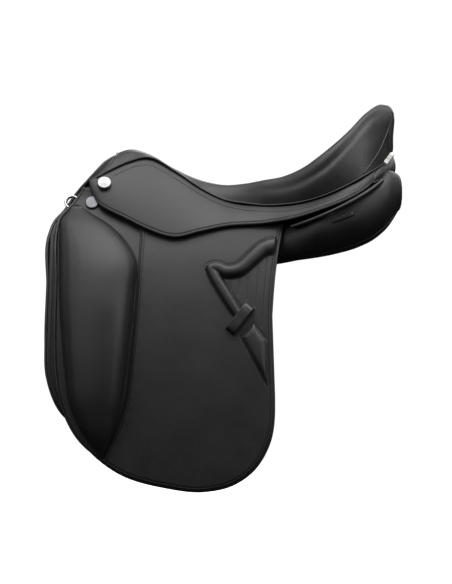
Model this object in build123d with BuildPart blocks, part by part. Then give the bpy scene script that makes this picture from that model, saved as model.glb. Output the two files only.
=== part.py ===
from build123d import *

import math
import os

# English dressage saddle, in millimetres.
#
# +X runs to the rear of the saddle, +Y to its right (off) side and +Z up. The origin is on the symmetry
# plane, level with the bearing line of the panels, where the horse's back carries the saddle. Every side
# piece is made once, on the right, and mirrored in the XZ plane for the left.

os.makedirs("parts", exist_ok=True)

# ---------------------------------------------------------------- driving dimensions
LEATHER = 3.0  # bridle leather of flaps and skirts
FLARE = 0.05  # the side surface widens by this much for each millimetre rearwards
REACH = 420.0  # long enough to cut right through one side of the saddle

# The side surface in front view, as half-width and height, from the pommel to the flap's bottom edge.
SIDE_POINTS = [(8, 170), (46, 140), (70, 94), (106, 34), (140, -38), (165, -120), (185, -230), (195, -350)]
SIDE_CURVE = Edge.make_spline([Vector(0, y, z) for y, z in SIDE_POINTS])

# Layers, as offsets from the side surface along its outward normal.
GULLET_STEEL = (-33.2, -30.2)
TREE_ARCH = (-30.0, -18.0)
SWEAT_FLAP = (-16.0, -13.0)
BILLETS = {"front": (-12.0, -8.5), "rear": (-6.8, -3.3)}
FLAP = (0.0, LEATHER)
FACING = (LEATHER + 0.1, LEATHER + 2.1)
BLOCK_FOOT = LEATHER + 0.4  # the block stands on the flap leather
PAD = (FACING[1] + 0.1, FACING[1] + 5.5)

# Top of the tree in side view, from the head back to the cantle.
TREE_TOP = [(-188, 139), (-150, 146), (-110, 136), (-60, 106), (0, 85), (60, 79), (110, 84), (160, 108),
            (200, 144), (226, 180), (238, 200)]
TREE_THICKNESS = 8.0
ARCH_FRONT, ARCH_REAR, POINT_TIP = -186.0, -136.0, 36.0
CUTBACK_X, CUTBACK_LENGTH, CUTBACK_WIDTH = -205.0, 43.0, 58.7  # elliptical notch of the head, in plan

# Fold lines in side view, front end and rear end, and how far each axis stands off the layer it bends.
FLAP_FOLD = ((-255.0, 60.0), (97.0, 10.6))
FLAP_FOLD_OFFSET = FACING[1] + 2.5
SKIRT_FOLD = ((-200.0, 66.0, 113.0), (22.5, 108.5, 59.5))
FOLD_GAP = 0.8  # half of the gap between the fixed and the moving half of a sheet
NOTCH = 37.0  # degrees that the block is cut back on each side of its fold
FACING_CLEARANCE = 7.0  # gap between the fold and the facing, which lets it pass under the skirt

NAIL_RADIUS, NAIL_HEIGHT = 10.5, 3.2
WIRE_RADIUS = 1.6  # dee ring
RUNNING = 0.1  # radial clearance of a pin
BILLET_WIDTH, BILLET_TOP, BILLET_END = 28.0, 29.5, -300.0
BILLET_X = {"front": -60.0, "rear": 0.0}
WEB_EDGE = {"front": (47, 104), "rear": (62, 86)}  # half-width and height where the webbing turns down
HOLE_RADIUS, HOLE_PITCH, HOLE_COUNT = 2.5, 25.0, 10
BAR_X, BAR_HEIGHT = -118.0, 80.0  # middle of the stirrup bar
TAB_X, TAB_Z = 177.0, 66.0  # blank leather tab on the rear of the panel


# ---------------------------------------------------------------- shared geometry
def side_station(z):
    """Point and outward normal of the side surface at height z, both as (y, z)."""
    low, high = 0.0, 1.0
    for _ in range(40):
        middle = (low + high) / 2
        if SIDE_CURVE.position_at(middle).Z > z:
            low = middle
        else:
            high = middle
    point, tangent = SIDE_CURVE.position_at(low), SIDE_CURVE.tangent_at(low)
    return (point.Y, point.Z), (-tangent.Z, tangent.Y)


def side_point(x, z, offset):
    """Point of the layer at this offset, at station x and level with height z of the side surface."""
    (y, height), (ny, nz) = side_station(z)
    return Vector(x, y + ny * offset + FLARE * x, height + nz * offset)


def side_plane(x, z, offset, turn=0.0):
    """Plane lying on a layer, normal outwards, its x axis turned from +X towards up by turn degrees."""
    _, (ny, nz) = side_station(z)
    outward = Vector(-FLARE * ny, ny, nz).normalized()
    level = Vector(1, FLARE, 0).normalized()
    upward = level.cross(outward)
    angle = math.radians(turn)
    heading = level * math.cos(angle) + upward * math.sin(angle)
    return Plane(side_point(x, z, offset), x_dir=heading, z_dir=outward)


def side_line(offset, top, bottom, count=14):
    """Points of one layer's curve in front view, from top to bottom."""
    points = []
    for i in range(count):
        (y, z), (ny, nz) = side_station(top + (bottom - top) * i / (count - 1))
        points.append((y + ny * offset, z + nz * offset))
    return points


def draw(segments):
    """Edges of a closed outline: two points make a line, more make a spline."""
    for points in segments:
        if len(points) == 2:
            Line(*points)
        else:
            Spline(*points)


def side_sheet(offsets, top=168.0, bottom=-352.0):
    """The whole sheet of one layer, before it is cut to an outline."""
    inner, outer = (side_line(offset, top, bottom) for offset in offsets)
    start = -300.0
    with BuildPart() as sheet:
        with BuildSketch(Plane((start, FLARE * start, 0), x_dir=(0, 1, 0), z_dir=(1, 0, 0))):
            with BuildLine():
                draw([outer, [outer[-1], inner[-1]], inner[::-1], [inner[0], outer[0]]])
            make_face()
        extrude(amount=600 * math.hypot(1, FLARE), dir=(1, FLARE, 0))
    return sheet.part


def layer(segments, offsets):
    """Sheet between two offsets of the side surface, cut to an outline in side view."""
    with BuildPart() as sheet:
        add(side_sheet(offsets))
        with BuildSketch(Plane.XZ):
            with BuildLine():
                draw(segments)
            make_face()
        extrude(amount=-REACH, mode=Mode.INTERSECT)
    return sheet.part


def tree_band(low, high, plan):
    """Plate between two heights above the tree's top curve, cut to an outline in plan."""
    lower = [(x, z + low) for x, z in TREE_TOP]
    upper = [(x, z + high) for x, z in TREE_TOP]
    with BuildPart() as plate:
        with BuildSketch(Plane.XZ):
            with BuildLine():
                draw([upper, [upper[-1], lower[-1]], lower[::-1], [lower[0], upper[0]]])
            make_face()
        extrude(amount=200, both=True)
        with BuildSketch(Plane.XY):
            with BuildLine():
                draw(plan)
            make_face()
        extrude(amount=REACH, both=True, mode=Mode.INTERSECT)
    return plate.part


def both_sides(right):
    """Closed plan outline from the points of its right edge, front to rear."""
    left = [(x, -y) for x, y in reversed(right)]
    return [right, [right[-1], left[0]], left, [left[-1], right[0]]]


def section_loft(stations):
    """Solid through smooth closed cross-sections, each (x, points in (y, z)), straight between them."""
    with BuildPart() as body:
        for x, points in stations:
            with BuildSketch(Plane.YZ.offset(x)):
                with BuildLine():
                    Spline(*points, periodic=True)
                make_face()
        loft(ruled=True)
    return body.part


def arch(offsets, front, rear, tip):
    """Inverted U across the head of the saddle, following the side surface down both sides."""
    with BuildPart() as bow:
        for x in (front, rear):
            lines = [side_line(offset, 156, tip) for offset in offsets]
            inner, outer = ([(y + FLARE * x, z) for y, z in line] for line in lines)
            inner_left, outer_left = ([(-y, z) for y, z in side] for side in (inner, outer))
            with BuildSketch(Plane.YZ.offset(x)):
                with BuildLine():
                    draw([outer, [outer[-1], inner[-1]], inner[::-1], [inner[0], inner_left[0]], inner_left,
                          [inner_left[-1], outer_left[-1]], outer_left[::-1], [outer_left[0], outer[0]]])
                make_face()
        loft(ruled=True)
        add(cutback(2.4), mode=Mode.SUBTRACT)
    return bow.part


def cutback(margin):
    """Tall elliptical cylinder in front of the head: what it takes away lets the withers through."""
    with BuildPart() as cutter:
        with BuildSketch(Plane.XY):
            with Locations((CUTBACK_X, 0)):
                Ellipse(CUTBACK_LENGTH + margin, CUTBACK_WIDTH + margin)
        extrude(amount=REACH)
    return cutter.part


def fold_plane(front, rear, tilt=0.0):
    """Plane through a fold's axis across the sheet, normal up, outer side raised by tilt degrees."""
    along = (rear - front).normalized()
    middle = (front + rear) / 2
    _, (ny, nz) = side_station(middle.Z)
    upward = along.cross(Vector(0, ny, nz)).normalized()
    outward = upward.cross(along)
    angle = math.radians(tilt)
    return Plane(middle, x_dir=along, z_dir=upward * math.cos(angle) - outward * math.sin(angle))


def above(solid, plane, gap=FOLD_GAP):
    return split(solid, bisect_by=plane.offset(gap), keep=Keep.TOP)


def below(solid, plane, gap=FOLD_GAP):
    return split(solid, bisect_by=plane.offset(-gap), keep=Keep.BOTTOM)


def save(part, name):
    part.label = name
    export_step(part, f"parts/{name}.step")


def save_pair(part, name):
    """The right-hand piece and its mirror image on the left."""
    save(part, f"{name}_right")
    save(mirror(part, about=Plane.XZ), f"{name}_left")


flap_fold_ends = tuple(side_point(x, z, FLAP_FOLD_OFFSET) for x, z in FLAP_FOLD)
flap_fold = fold_plane(*flap_fold_ends)
skirt_fold_ends = tuple(Vector(*point) for point in SKIRT_FOLD)
skirt_fold = fold_plane(*skirt_fold_ends)


# ---------------------------------------------------------------- tree
def make_tree():
    edge = [(-186, 38), (-150, 34), (-110, 32), (-75, 38), (-37, 48), (0, 56), (60, 72),
            (110, 84), (160, 86),
            (200, 76), (224, 54), (234, 24)]
    rail_gap = [(-70, 12), (-20, 24), (60, 44), (120, 52), (150, 30)]
    with BuildPart() as frame:
        add(arch(TREE_ARCH, ARCH_FRONT, ARCH_REAR, POINT_TIP))
        add(tree_band(-TREE_THICKNESS, 0, both_sides(edge)))
        add(tree_band(-TREE_THICKNESS - 1, 1, both_sides(rail_gap)), mode=Mode.SUBTRACT)
        add(cutback(2.4), mode=Mode.SUBTRACT)
        add(make_head_rivets(), mode=Mode.SUBTRACT)
        add(make_bar_rivets(), mode=Mode.SUBTRACT)
        add(mirror(make_bar_rivets(), about=Plane.XZ, mode=Mode.PRIVATE), mode=Mode.SUBTRACT)
    return frame.part


def make_head_rivets():
    """Rivets through the gullet steel and the head, two on each side."""
    length = TREE_ARCH[1] - GULLET_STEEL[0] + 1.2
    with BuildPart() as rivets:
        for z in (58, 100):
            with BuildSketch(side_plane(-161, z, GULLET_STEEL[0] - 1.0)):
                with Locations((-15, 0), (15, 0)):
                    Circle(3)
            extrude(amount=length)
        mirror(about=Plane.XZ)
    return rivets.part


def make_tree_spring():
    """Spring-steel strip under one rail of the tree."""
    inner = [(-60, 28), (20, 46), (100, 66), (180, 64)]
    outer = [(180, 78), (100, 80), (20, 58), (-60, 40)]
    return tree_band(-TREE_THICKNESS - 2.2, -TREE_THICKNESS - 0.2,
                     [inner, [inner[-1], outer[0]], outer, [outer[-1], inner[0]]])


def ribbon(points, thickness):
    """Closed outline of a strap seen edge-on, its outer face through the points."""
    under = []
    for i, (y, z) in enumerate(points):
        before, after = points[max(i - 1, 0)], points[min(i + 1, len(points) - 1)]
        dy, dz = after[0] - before[0], after[1] - before[1]
        length = math.hypot(dy, dz)
        under.append((y + dz / length * thickness, z - dy / length * thickness))
    return points + under[::-1]


def make_girth_web(name):
    """Webbing over the tree that carries the billets of both sides."""
    front, rear = BILLET_X[name] - BILLET_WIDTH / 2, BILLET_X[name] + BILLET_WIDTH / 2
    edge, crest = WEB_EDGE[name]
    side = [side_point(front, z, BILLETS[name][1]) for z in (72, 60, 48, BILLET_TOP + 7)]
    over = tree_band(2.2, 3.7, both_sides([(front, edge), (rear, edge)]))
    above_it = tree_band(3.7, 60, both_sides([(front - 9, 90), (rear + 9, 90)]))
    with BuildPart() as drop:
        with BuildSketch(Plane.YZ.offset(front)):
            with BuildLine():
                profile = [(edge, crest + 15), (edge, crest - 6)] + [(p.Y, p.Z) for p in side]
                Polyline(*ribbon(profile, 1.5), close=True)
            make_face()
        extrude(amount=BILLET_WIDTH)
        mirror(about=Plane.XZ)
        add(above_it, mode=Mode.SUBTRACT)
    with BuildPart() as web:
        add(over)
        add(drop.part)
    return web.part


# ---------------------------------------------------------------- stirrup bar
BAR_PLATE = 3.5
BAR_GAP = 12.0  # room for a doubled stirrup leather
BAR_THICKNESS, BAR_DEPTH = 7.0, 12.0
BAR_LENGTH, CATCH_X, PIN_RADIUS = 70.0, 27.0, 2.0
bar_plane = side_plane(BAR_X, BAR_HEIGHT, TREE_ARCH[1] + 0.3)
BAR_LOW = BAR_PLATE + BAR_GAP  # height of the bar's inner face above the plate's back
BAR_LAP = BAR_LOW + BAR_THICKNESS / 2


def make_stirrup_bar():
    with BuildPart() as bar:
        with BuildSketch(bar_plane):
            Rectangle(76, 20)
        extrude(amount=BAR_PLATE)
        with BuildSketch(bar_plane):
            with Locations((-31, 0)):
                Rectangle(8, BAR_DEPTH)
        extrude(amount=BAR_LOW + BAR_THICKNESS)
        with BuildSketch(bar_plane.offset(BAR_LOW)):
            with Locations((-BAR_LENGTH / 2 + 33, 0)):
                Rectangle(BAR_LENGTH - 2, BAR_DEPTH)
        extrude(amount=BAR_THICKNESS)
        with BuildSketch(bar_plane.offset(BAR_LAP - 0.1)):
            with Locations((CATCH_X + 10, 0)):
                Rectangle(36, BAR_DEPTH + 6)
        extrude(amount=BAR_THICKNESS, mode=Mode.SUBTRACT)
        with BuildSketch(bar_plane.offset(BAR_LOW)):
            with Locations((CATCH_X, 0)):
                Circle(PIN_RADIUS + RUNNING)
        extrude(amount=BAR_THICKNESS, mode=Mode.SUBTRACT)
        with BuildSketch(bar_plane):
            with Locations((-34, 6), (-34, -6), (-24, 0)):
                Circle(2.1)
        extrude(amount=BAR_PLATE, mode=Mode.SUBTRACT)
    return bar.part


def make_bar_rivets():
    with BuildPart() as rivets:
        with BuildSketch(bar_plane.offset(-4)):
            with Locations((-24, 0)):
                Circle(2.0)
        extrude(amount=4 + BAR_PLATE)
        with BuildSketch(bar_plane.offset(BAR_PLATE)):
            with Locations((-24, 0)):
                Circle(2.9)
        extrude(amount=1.4)
    return rivets.part


def make_bar_catch():
    """Lever and pin at the open end of the bar; turned up, it keeps the stirrup leather on."""
    with BuildPart() as catch:
        with BuildSketch(bar_plane.offset(BAR_LAP + 0.1)):
            with Locations((CATCH_X, 0)):
                Circle(BAR_DEPTH / 2)
            with Locations((CATCH_X + 14, 0)):
                Circle(4)
            make_hull()
        extrude(amount=BAR_THICKNESS / 2 - 0.1)
        with BuildSketch(bar_plane.offset(BAR_LOW)):
            with Locations((CATCH_X, 0)):
                Circle(PIN_RADIUS)
        extrude(amount=BAR_THICKNESS)
    return catch.part


# ---------------------------------------------------------------- seat
# Across the seat at each station: x, seam half-width and height, rim half-width and height, middle height.
SEAT = [(-192, 56, 127, 40, 144, 148), (-165, 46, 142, 28, 158, 163), (-144, 39, 151, 22, 166, 170),
        (-114, 34, 157, 21, 161, 163), (-75, 42, 136, 28, 140, 140), (-37, 53, 111, 38, 122, 124),
        (0, 66, 93, 52, 114, 116), (30, 75, 88, 62, 116, 113.5), (60, 85, 85, 76, 121, 114),
        (88, 94, 86, 86, 126, 117), (117, 102, 90, 95, 139, 125), (145, 108, 98, 97, 160, 136),
        (184, 108, 115, 80, 195, 168), (212, 98, 131, 46, 222, 206), (232, 74, 143, 20, 232, 230),
        (249, 36, 156, 12, 227, 229)]


def seat_section(station, inset):
    """Half of a seat section from the seam to the middle, moved inwards by inset."""
    _, seam_y, seam_z, rim_y, rim_z, middle = station
    wall = ((seam_y + rim_y) / 2 + 0.1 * (rim_z - seam_z), (seam_z + rim_z) / 2)
    dip = (rim_y / 2, (rim_z + middle) / 2 - 0.06 * (rim_z - middle))
    points = [(seam_y, seam_z + 1), wall, (rim_y, rim_z), dip, (0, middle)]
    moved = []
    for i, (y, z) in enumerate(points):
        before = points[max(i - 1, 0)]
        after = points[i + 1] if i + 1 < len(points) else (-points[-2][0], points[-2][1])
        dy, dz = after[0] - before[0], after[1] - before[1]
        length = math.hypot(dy, dz)
        moved.append((y - dz / length * inset, z + dy / length * inset))
    return moved


def seat_solid(inset, floor, stations):
    """Solid under the seat's surface moved in by inset, with its floor this far below the seam."""
    with BuildPart() as body:
        for station in stations:
            right = seat_section(station, inset)
            left = [(-y, z) for y, z in right[-2::-1]]
            low = station[2] - floor
            with BuildSketch(Plane.YZ.offset(station[0])):
                with BuildLine():
                    Spline(*right, *left)
                    Polyline(left[-1], (left[-1][0], low), (right[0][0], low), right[0])
                make_face()
        loft()
    return body.part


def make_seat_cover():
    rear_wall = [station for station in SEAT[:-1]] + [(246, 40, 154, 13, 228, 229)]
    with BuildPart() as cover:
        add(seat_solid(0, 0, SEAT))
        add(seat_solid(LEATHER, 12, rear_wall), mode=Mode.SUBTRACT)
        add(cutback(2.4), mode=Mode.SUBTRACT)
    return cover.part


def make_seat_foam():
    stations = [station for station in SEAT[:-1]] + [(245, 42, 153, 14, 227, 228)]
    top = [(x, z + 5.5) for x, z in TREE_TOP]
    with BuildPart() as foam:
        add(seat_solid(LEATHER + 0.6, 4, stations))
        with BuildSketch(Plane.XZ):
            with BuildLine():
                draw([top, [top[-1], (262, 200)], [(262, 200), (262, 300)], [(262, 300), (-188, 300)],
                      [(-188, 300), top[0]]])
            make_face()
        extrude(amount=200, both=True, mode=Mode.INTERSECT)
        add(cutback(2.4), mode=Mode.SUBTRACT)
        add(whole_skirt, mode=Mode.SUBTRACT)
        add(mirror(whole_skirt, about=Plane.XZ, mode=Mode.PRIVATE), mode=Mode.SUBTRACT)
    return foam.part


def make_pommel_facing():
    """Leather lining of the cut-back head."""
    with BuildPart() as facing:
        add(seat_solid(0, 24, SEAT[:4]))
        add(cutback(0.0), mode=Mode.SUBTRACT)
        add(cutback(2.0), mode=Mode.INTERSECT)
        with BuildSketch(Plane.XY.offset(122)):
            with Locations((CUTBACK_X + 60, 0)):
                Rectangle(120, 86)
        extrude(amount=60, mode=Mode.INTERSECT)
    return facing.part


def plan_band(points, thickness, low, high):
    """Upright band round the rear of the saddle, symmetrical in plan."""
    left = [(x, -y) for x, y in points[-2::-1]]
    outer = points + left
    inner = [(x - thickness, y * (1 - thickness / 90)) for x, y in outer]
    with BuildPart() as band:
        with BuildSketch(Plane.XY.offset(low)):
            with BuildLine():
                draw([outer, [outer[-1], inner[-1]], inner[::-1], [inner[0], outer[0]]])
            make_face()
        extrude(amount=high - low)
    return band.part


def make_cantle_plate():
    """Blank metal bar let into the back of the cantle."""
    tip, crest = Vector(240, 64, 148), Vector(255.2, 0, 168)
    plane = Plane(crest, x_dir=(0, 1, 0), z_dir=(crest - tip - Vector(0, -64, 0)).cross(Vector(0, 1, 0)))
    sag = math.hypot(crest.X - tip.X, crest.Z - tip.Z)
    toward = plane.to_local_coords(tip).Y
    side = sag if toward > 0 else -sag
    lift = 2.0 if toward > 0 else -2.0
    with BuildPart() as bar:
        with BuildSketch(plane):
            with BuildLine():
                ThreePointArc((-64, side), (0, 0), (64, side))
                Line((64, side), (64, side - lift))
                ThreePointArc((64, side - lift), (0, -lift), (-64, side - lift))
                Line((-64, side - lift), (-64, side))
            make_face()
        extrude(amount=3, both=True)
    return bar.part


# ---------------------------------------------------------------- skirt
# Along the skirt: x, top half-width and height (the seat's seam), bottom half-width and height, crown.
SKIRT = [(-204, 58, 122, 60, 118, 0.2), (-190, 55, 129, 76, 88, 2), (-150, 40, 148, 90, 67, 4),
         (-120, 33, 156, 101, 51, 5), (-75, 42, 135, 112, 37.5, 5), (-37, 53, 110, 109, 46, 4),
         (0, 66, 92, 108, 54, 3), (60, 85, 84, 111, 58.5, 1.5), (107, 100, 86, 121, 67, 1.5),
         (150, 108, 98, 127, 81, 1.5), (190, 107, 116, 121, 97, 1.5), (215, 96, 130, 107, 113, 1),
         (232, 76, 141, 84, 131, 0.5)]


def make_skirt():
    """The whole skirt of one side, from the seat's seam to its stitched edge."""
    with BuildPart() as skirt:
        for x, top_y, top_z, low_y, low_z, crown in SKIRT:
            dy, dz = low_y - top_y, low_z - top_z
            length = math.hypot(dy, dz)
            ny, nz = -dz / length, dy / length
            middle = ((top_y + low_y) / 2, (top_z + low_z) / 2)
            top, bottom = (top_y, top_z), (low_y, low_z)
            back_top = (top_y - ny * LEATHER, top_z - nz * LEATHER)
            back_bottom = (low_y - ny * LEATHER, low_z - nz * LEATHER)
            inner = crown - LEATHER
            with BuildSketch(Plane.YZ.offset(x)):
                with BuildLine():
                    ThreePointArc(top, (middle[0] + ny * crown, middle[1] + nz * crown), bottom)
                    Line(bottom, back_bottom)
                    ThreePointArc(back_bottom, (middle[0] + ny * inner, middle[1] + nz * inner), back_top)
                    Line(back_top, top)
                make_face()
        loft()
    return skirt.part


def nail(plane, rings):
    """Domed nail head on a shank; rings are turned into the larger one."""
    with BuildPart() as head:
        with BuildSketch(plane):
            Circle(NAIL_RADIUS)
        extrude(amount=NAIL_HEIGHT)
        rim = head.edges().filter_by(GeomType.CIRCLE).sort_by_distance(plane.origin)[-1]
        fillet(rim, NAIL_HEIGHT * 0.6)
        if rings:
            with BuildSketch(plane.offset(NAIL_HEIGHT)):
                Circle(6.4)
                Circle(5.4, mode=Mode.SUBTRACT)
                Circle(3.2)
                Circle(2.4, mode=Mode.SUBTRACT)
            extrude(amount=-0.5, mode=Mode.SUBTRACT)
    return head.part


# ---------------------------------------------------------------- flap, block and facing
FLAP_OUTLINE = [
    [(-211.5, 111), (-226.5, 88), (-240, 73.5), (-248, 64), (-251, 48)],
    [(-251, 48), (-253.5, -117)],
    [(-253.5, -117), (-252, -168), (-240, -225), (-214.5, -270), (-157.5, -318), (-91.5, -338), (-30, -344),
     (12, -334.5), (44, -312), (66, -276), (75, -200)],
    [(75, -200), (71, -81)],
    [(71, -81), (77.7, -3.6), (89, 60)],
    [(89, 60), (-150, 62)],
    [(-150, 62), (-166, 84), (-196, 112)],
    [(-196, 112), (-211.5, 111)],
]

FACING_OUTLINE = [
    [(-127.5, 60), (-127.5, 36)],
    [(-127.5, 36), (-131, -20), (-139, -120), (-153.5, -223.5), (-185, -297)],
    [(-185, -297), (-157, -314.5), (-91, -334.5), (-30, -340.5), (10, -331), (41, -309),
     (62.5, -274), (71.5, -200)],
    [(71.5, -200), (67.5, -81)],
    [(67.5, -81), (74, -3.6), (85, 58)],
    [(85, 58), (-127.5, 60)],
]

SWEAT_FLAP_OUTLINE = [
    [(-190, 142), (-208, 124), (-226, 104), (-241, 82), (-256, 66), (-263, 48)],
    [(-263, 48), (-267, -117)],
    [(-267, -117), (-265.5, -168), (-244, -222), (-185, -262), (-60, -280), (0, -270),
     (38, -235), (49, -180)],
    [(49, -180), (51, -60)],
    [(51, -60), (54, 44)],
    [(54, 44), (-150, 52)],
    [(-150, 52), (-200, 84), (-188, 110), (-174, 142)],
    [(-174, 142), (-190, 142)],
]

# Down the thigh block: height, front edge, rear edge and thickness above the flap.
BLOCK = [(77, -234, -210, 7), (64, -246.5, -184, 15), (44, -249, -159, 22), (8, -249.5, -134, 33),
         (-45, -249, -135.5, 41), (-105, -245.5, -140.5, 45), (-165, -240, -147.5, 44),
         (-222, -230, -156, 38),
         (-264, -208, -170, 26), (-289, -190, -182, 9)]


def make_block(inset):
    """Padded block standing on the flap, moved in from its skin by inset."""
    with BuildPart() as block:
        for z, front, rear, thickness in BLOCK:
            (y, _), (ny, _) = side_station(z)
            foot = y + (BLOCK_FOOT - (0.2 if inset else 0.0)) / ny
            front_x, rear_x = front + inset, rear - inset
            high = thickness - inset
            span = rear_x - front_x
            crest = [(rear_x, 0.0), (rear_x - 0.04 * span, 0.62), (rear_x - 0.3 * span, 1.0),
                     (rear_x - 0.75 * span, 0.9), (front_x + 0.04 * span, 0.5), (front_x, 0.0)]
            points = [(x, foot + FLARE * x + share * high) for x, share in crest]
            with BuildSketch(Plane.XY.offset(z)):
                with BuildLine():
                    Spline(*points)
                    Line(points[-1], points[0])
                make_face()
        loft()
    return block.part


def chain(points, radius):
    """Rounded stroke through the points, in the current sketch."""
    for start, end in zip(points, points[1:]):
        middle = ((start[0] + end[0]) / 2, (start[1] + end[1]) / 2)
        angle = math.degrees(math.atan2(end[1] - start[1], end[0] - start[0]))
        with Locations(Location((middle[0], middle[1], 0), (0, 0, angle))):
            SlotCenterToCenter(math.dist(start, end), 2 * radius)


def make_calf_pad():
    """Raised pads behind the rider's calf, under the facing's skin."""
    with BuildPart() as pads:
        add(side_sheet(PAD, top=60, bottom=-210))
        with BuildSketch(Plane.XZ):
            chain([(66, 15), (52, 10), (36, -6), (22, -17), (4, -22), (-18, -15)], 9)
            chain([(-18, -15), (-10, -30), (0, -46), (10, -62)], 7)
            Polygon((27.5, -112), (46, -97), (60, -120), (63.5, -178), align=None)
        extrude(amount=-REACH, mode=Mode.INTERSECT)
    return pads.part


KEEPER_X, KEEPER_Z, KEEPER_TURN, KEEPER_WIDTH = 22.5, -84.0, 52.0, 15.0
KEEPER_ROOM = 7.6  # height of the strap's loop above the facing


def make_keeper():
    """Bridge of strap that holds the end of the stirrup leather."""
    base = side_plane(KEEPER_X, KEEPER_Z, FACING[1] + 0.3, KEEPER_TURN)
    across = Plane(base.origin, x_dir=base.x_dir, z_dir=-base.y_dir)
    skin = 2.2
    outer = [(-25.5, 0), (-25.5, skin), (-18, skin), (-12, KEEPER_ROOM + skin), (12, KEEPER_ROOM + skin),
             (18, skin), (25.5, skin), (25.5, 0)]
    inner = [(16.5, 0), (11, KEEPER_ROOM), (-11, KEEPER_ROOM), (-16.5, 0)]
    with BuildPart() as keeper:
        with BuildSketch(across):
            with BuildLine():
                Polyline(*outer, *inner, close=True)
            make_face()
        extrude(amount=KEEPER_WIDTH / 2, both=True)
    return keeper.part


def make_billet(name):
    """Girth strap with its row of holes."""
    x, offsets = BILLET_X[name], BILLETS[name]
    left, right = x - BILLET_WIDTH / 2, x + BILLET_WIDTH / 2
    with BuildPart() as billet:
        add(layer([[(left, BILLET_TOP), (right, BILLET_TOP)],
                   [(right, BILLET_TOP), (right, BILLET_END + 12)],
                   [(right, BILLET_END + 12), (x, BILLET_END), (left, BILLET_END + 12)],
                   [(left, BILLET_END + 12), (left, BILLET_TOP)]], offsets))
        for i in range(HOLE_COUNT):
            with BuildSketch(side_plane(x, BILLET_END + 35 + HOLE_PITCH * i, offsets[0] - 2)):
                Circle(HOLE_RADIUS)
            extrude(amount=offsets[1] - offsets[0] + 4, mode=Mode.SUBTRACT)
    return billet.part


# ---------------------------------------------------------------- panel and its trim
# Across the panel at each station: gullet side from the top down, bearing face, outer side back up, top.
PANEL = [
    (-205, [(24, 74), (25, 44), (50, 0), (82, -42), (100, -52), (92, -20), (55, 24), (34, 58)]),
    (-170, [(25, 76), (26, 45), (51, -1), (84, -45), (104, -57), (94, -19), (56, 24), (35, 60)]),
    (-135, [(27, 76), (27, 46), (53, -2), (86, -45), (107, -56), (97, -18), (59, 25), (37, 62)]),
    (-100, [(32, 70), (32, 43), (55, 1), (86, -34), (105, -45), (94, -9), (64, 30), (44, 60)]),
    (-60, [(36, 66), (36, 40), (56, 4), (86, -22), (105, -34), (94, 0), (73, 33), (54, 60)]),
    (20, [(36, 62), (34, 38), (46, 8), (76, -7), (101, -13), (92, 12), (75, 37), (56, 59)]),
    (50, [(36, 61), (34, 38), (43, 9), (72, -3), (99, -5), (95, 18), (80, 42), (60, 60)]),
    (80, [(36, 60), (34, 38), (42, 10), (70, 0), (100, 2), (103, 26), (90, 50), (64, 62)]),
    (110, [(37, 66), (35, 41), (42, 13), (72, 3), (107, 10), (115, 37), (103, 62), (70, 71)]),
    (140, [(38, 74), (36, 45), (42, 18), (75, 7), (113, 20), (125, 46), (114, 74), (78, 82)]),
    (170, [(38, 85), (36, 52), (42, 25), (75, 13), (110, 27), (122, 55), (112, 86), (76, 96)]),
    (200, [(38, 96), (36, 60), (42, 34), (75, 22), (104, 36), (116, 65), (106, 98), (73, 110)]),
    (240, [(36, 112), (35, 85), (40, 60), (65, 46), (88, 58), (96, 84), (88, 112), (62, 124)]),
    (262, [(40, 108), (38, 94), (42, 82), (57, 76), (68, 84), (73, 96), (68, 108), (55, 114)]),
]


def make_gullet_lining():
    """Leather that closes the gullet between the panels, under the tree."""
    edge = [(-128, 20), (-60, 24), (60, 27), (150, 27), (214, 22)]
    return tree_band(-TREE_THICKNESS - 5.0, -TREE_THICKNESS - 3.5, both_sides(edge))


def make_panel_welt():
    """Piping between the skirt's edge and the panel."""
    with BuildPart() as welt:
        with BuildLine() as path:
            ThreePointArc((100, 112.5, 53), (168, 125.5, 79.5), (236, 87.5, 122))
        with BuildSketch(Plane(path.line @ 0, z_dir=path.line % 0)):
            Circle(3)
        sweep()
    return welt.part


# ---------------------------------------------------------------- dee ring
DEE_X, DEE_Z, DEE_OFFSET, DEE_TURN = -225.0, 90.0, -6.2, 146.0
DEE_HALF, DEE_LEG, DEE_CORNER = 10.0, 6.0, 3.0
dee_plane = side_plane(DEE_X, DEE_Z, DEE_OFFSET, DEE_TURN)


def make_dee_ring():
    """Wire ring with a straight side along the plane's y axis and its bow towards the plane's x axis."""
    half, leg, corner = DEE_HALF, DEE_LEG, DEE_CORNER
    turn = corner * (1 - math.sqrt(0.5))
    with BuildPart() as ring:
        with BuildLine(dee_plane) as path:
            Line((0, -half + corner), (0, half - corner))
            ThreePointArc((0, half - corner), (turn, half - turn), (corner, half))
            Line((corner, half), (leg, half))
            ThreePointArc((leg, half), (leg + half, 0), (leg, -half))
            Line((leg, -half), (corner, -half))
            ThreePointArc((corner, -half), (turn, turn - half), (0, -half + corner))
        with BuildSketch(Plane(dee_plane.origin, x_dir=dee_plane.x_dir, z_dir=dee_plane.y_dir)):
            Circle(WIRE_RADIUS)
        sweep(path=path.wires()[0])
    return ring.part


def make_dee_chape():
    """Leather tab that holds the ring's straight side, stitched under the flap's front edge."""
    base = Plane(dee_plane.origin, x_dir=-dee_plane.x_dir, z_dir=dee_plane.y_dir)
    wall = 2.0
    with BuildPart() as chape:
        with BuildSketch(base):
            Circle(WIRE_RADIUS + RUNNING + wall)
            with Locations((13, 0)):
                Rectangle(26, 2 * wall)
            Circle(WIRE_RADIUS + RUNNING, mode=Mode.SUBTRACT)
        extrude(amount=4.5, both=True)
    return chape.part


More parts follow.
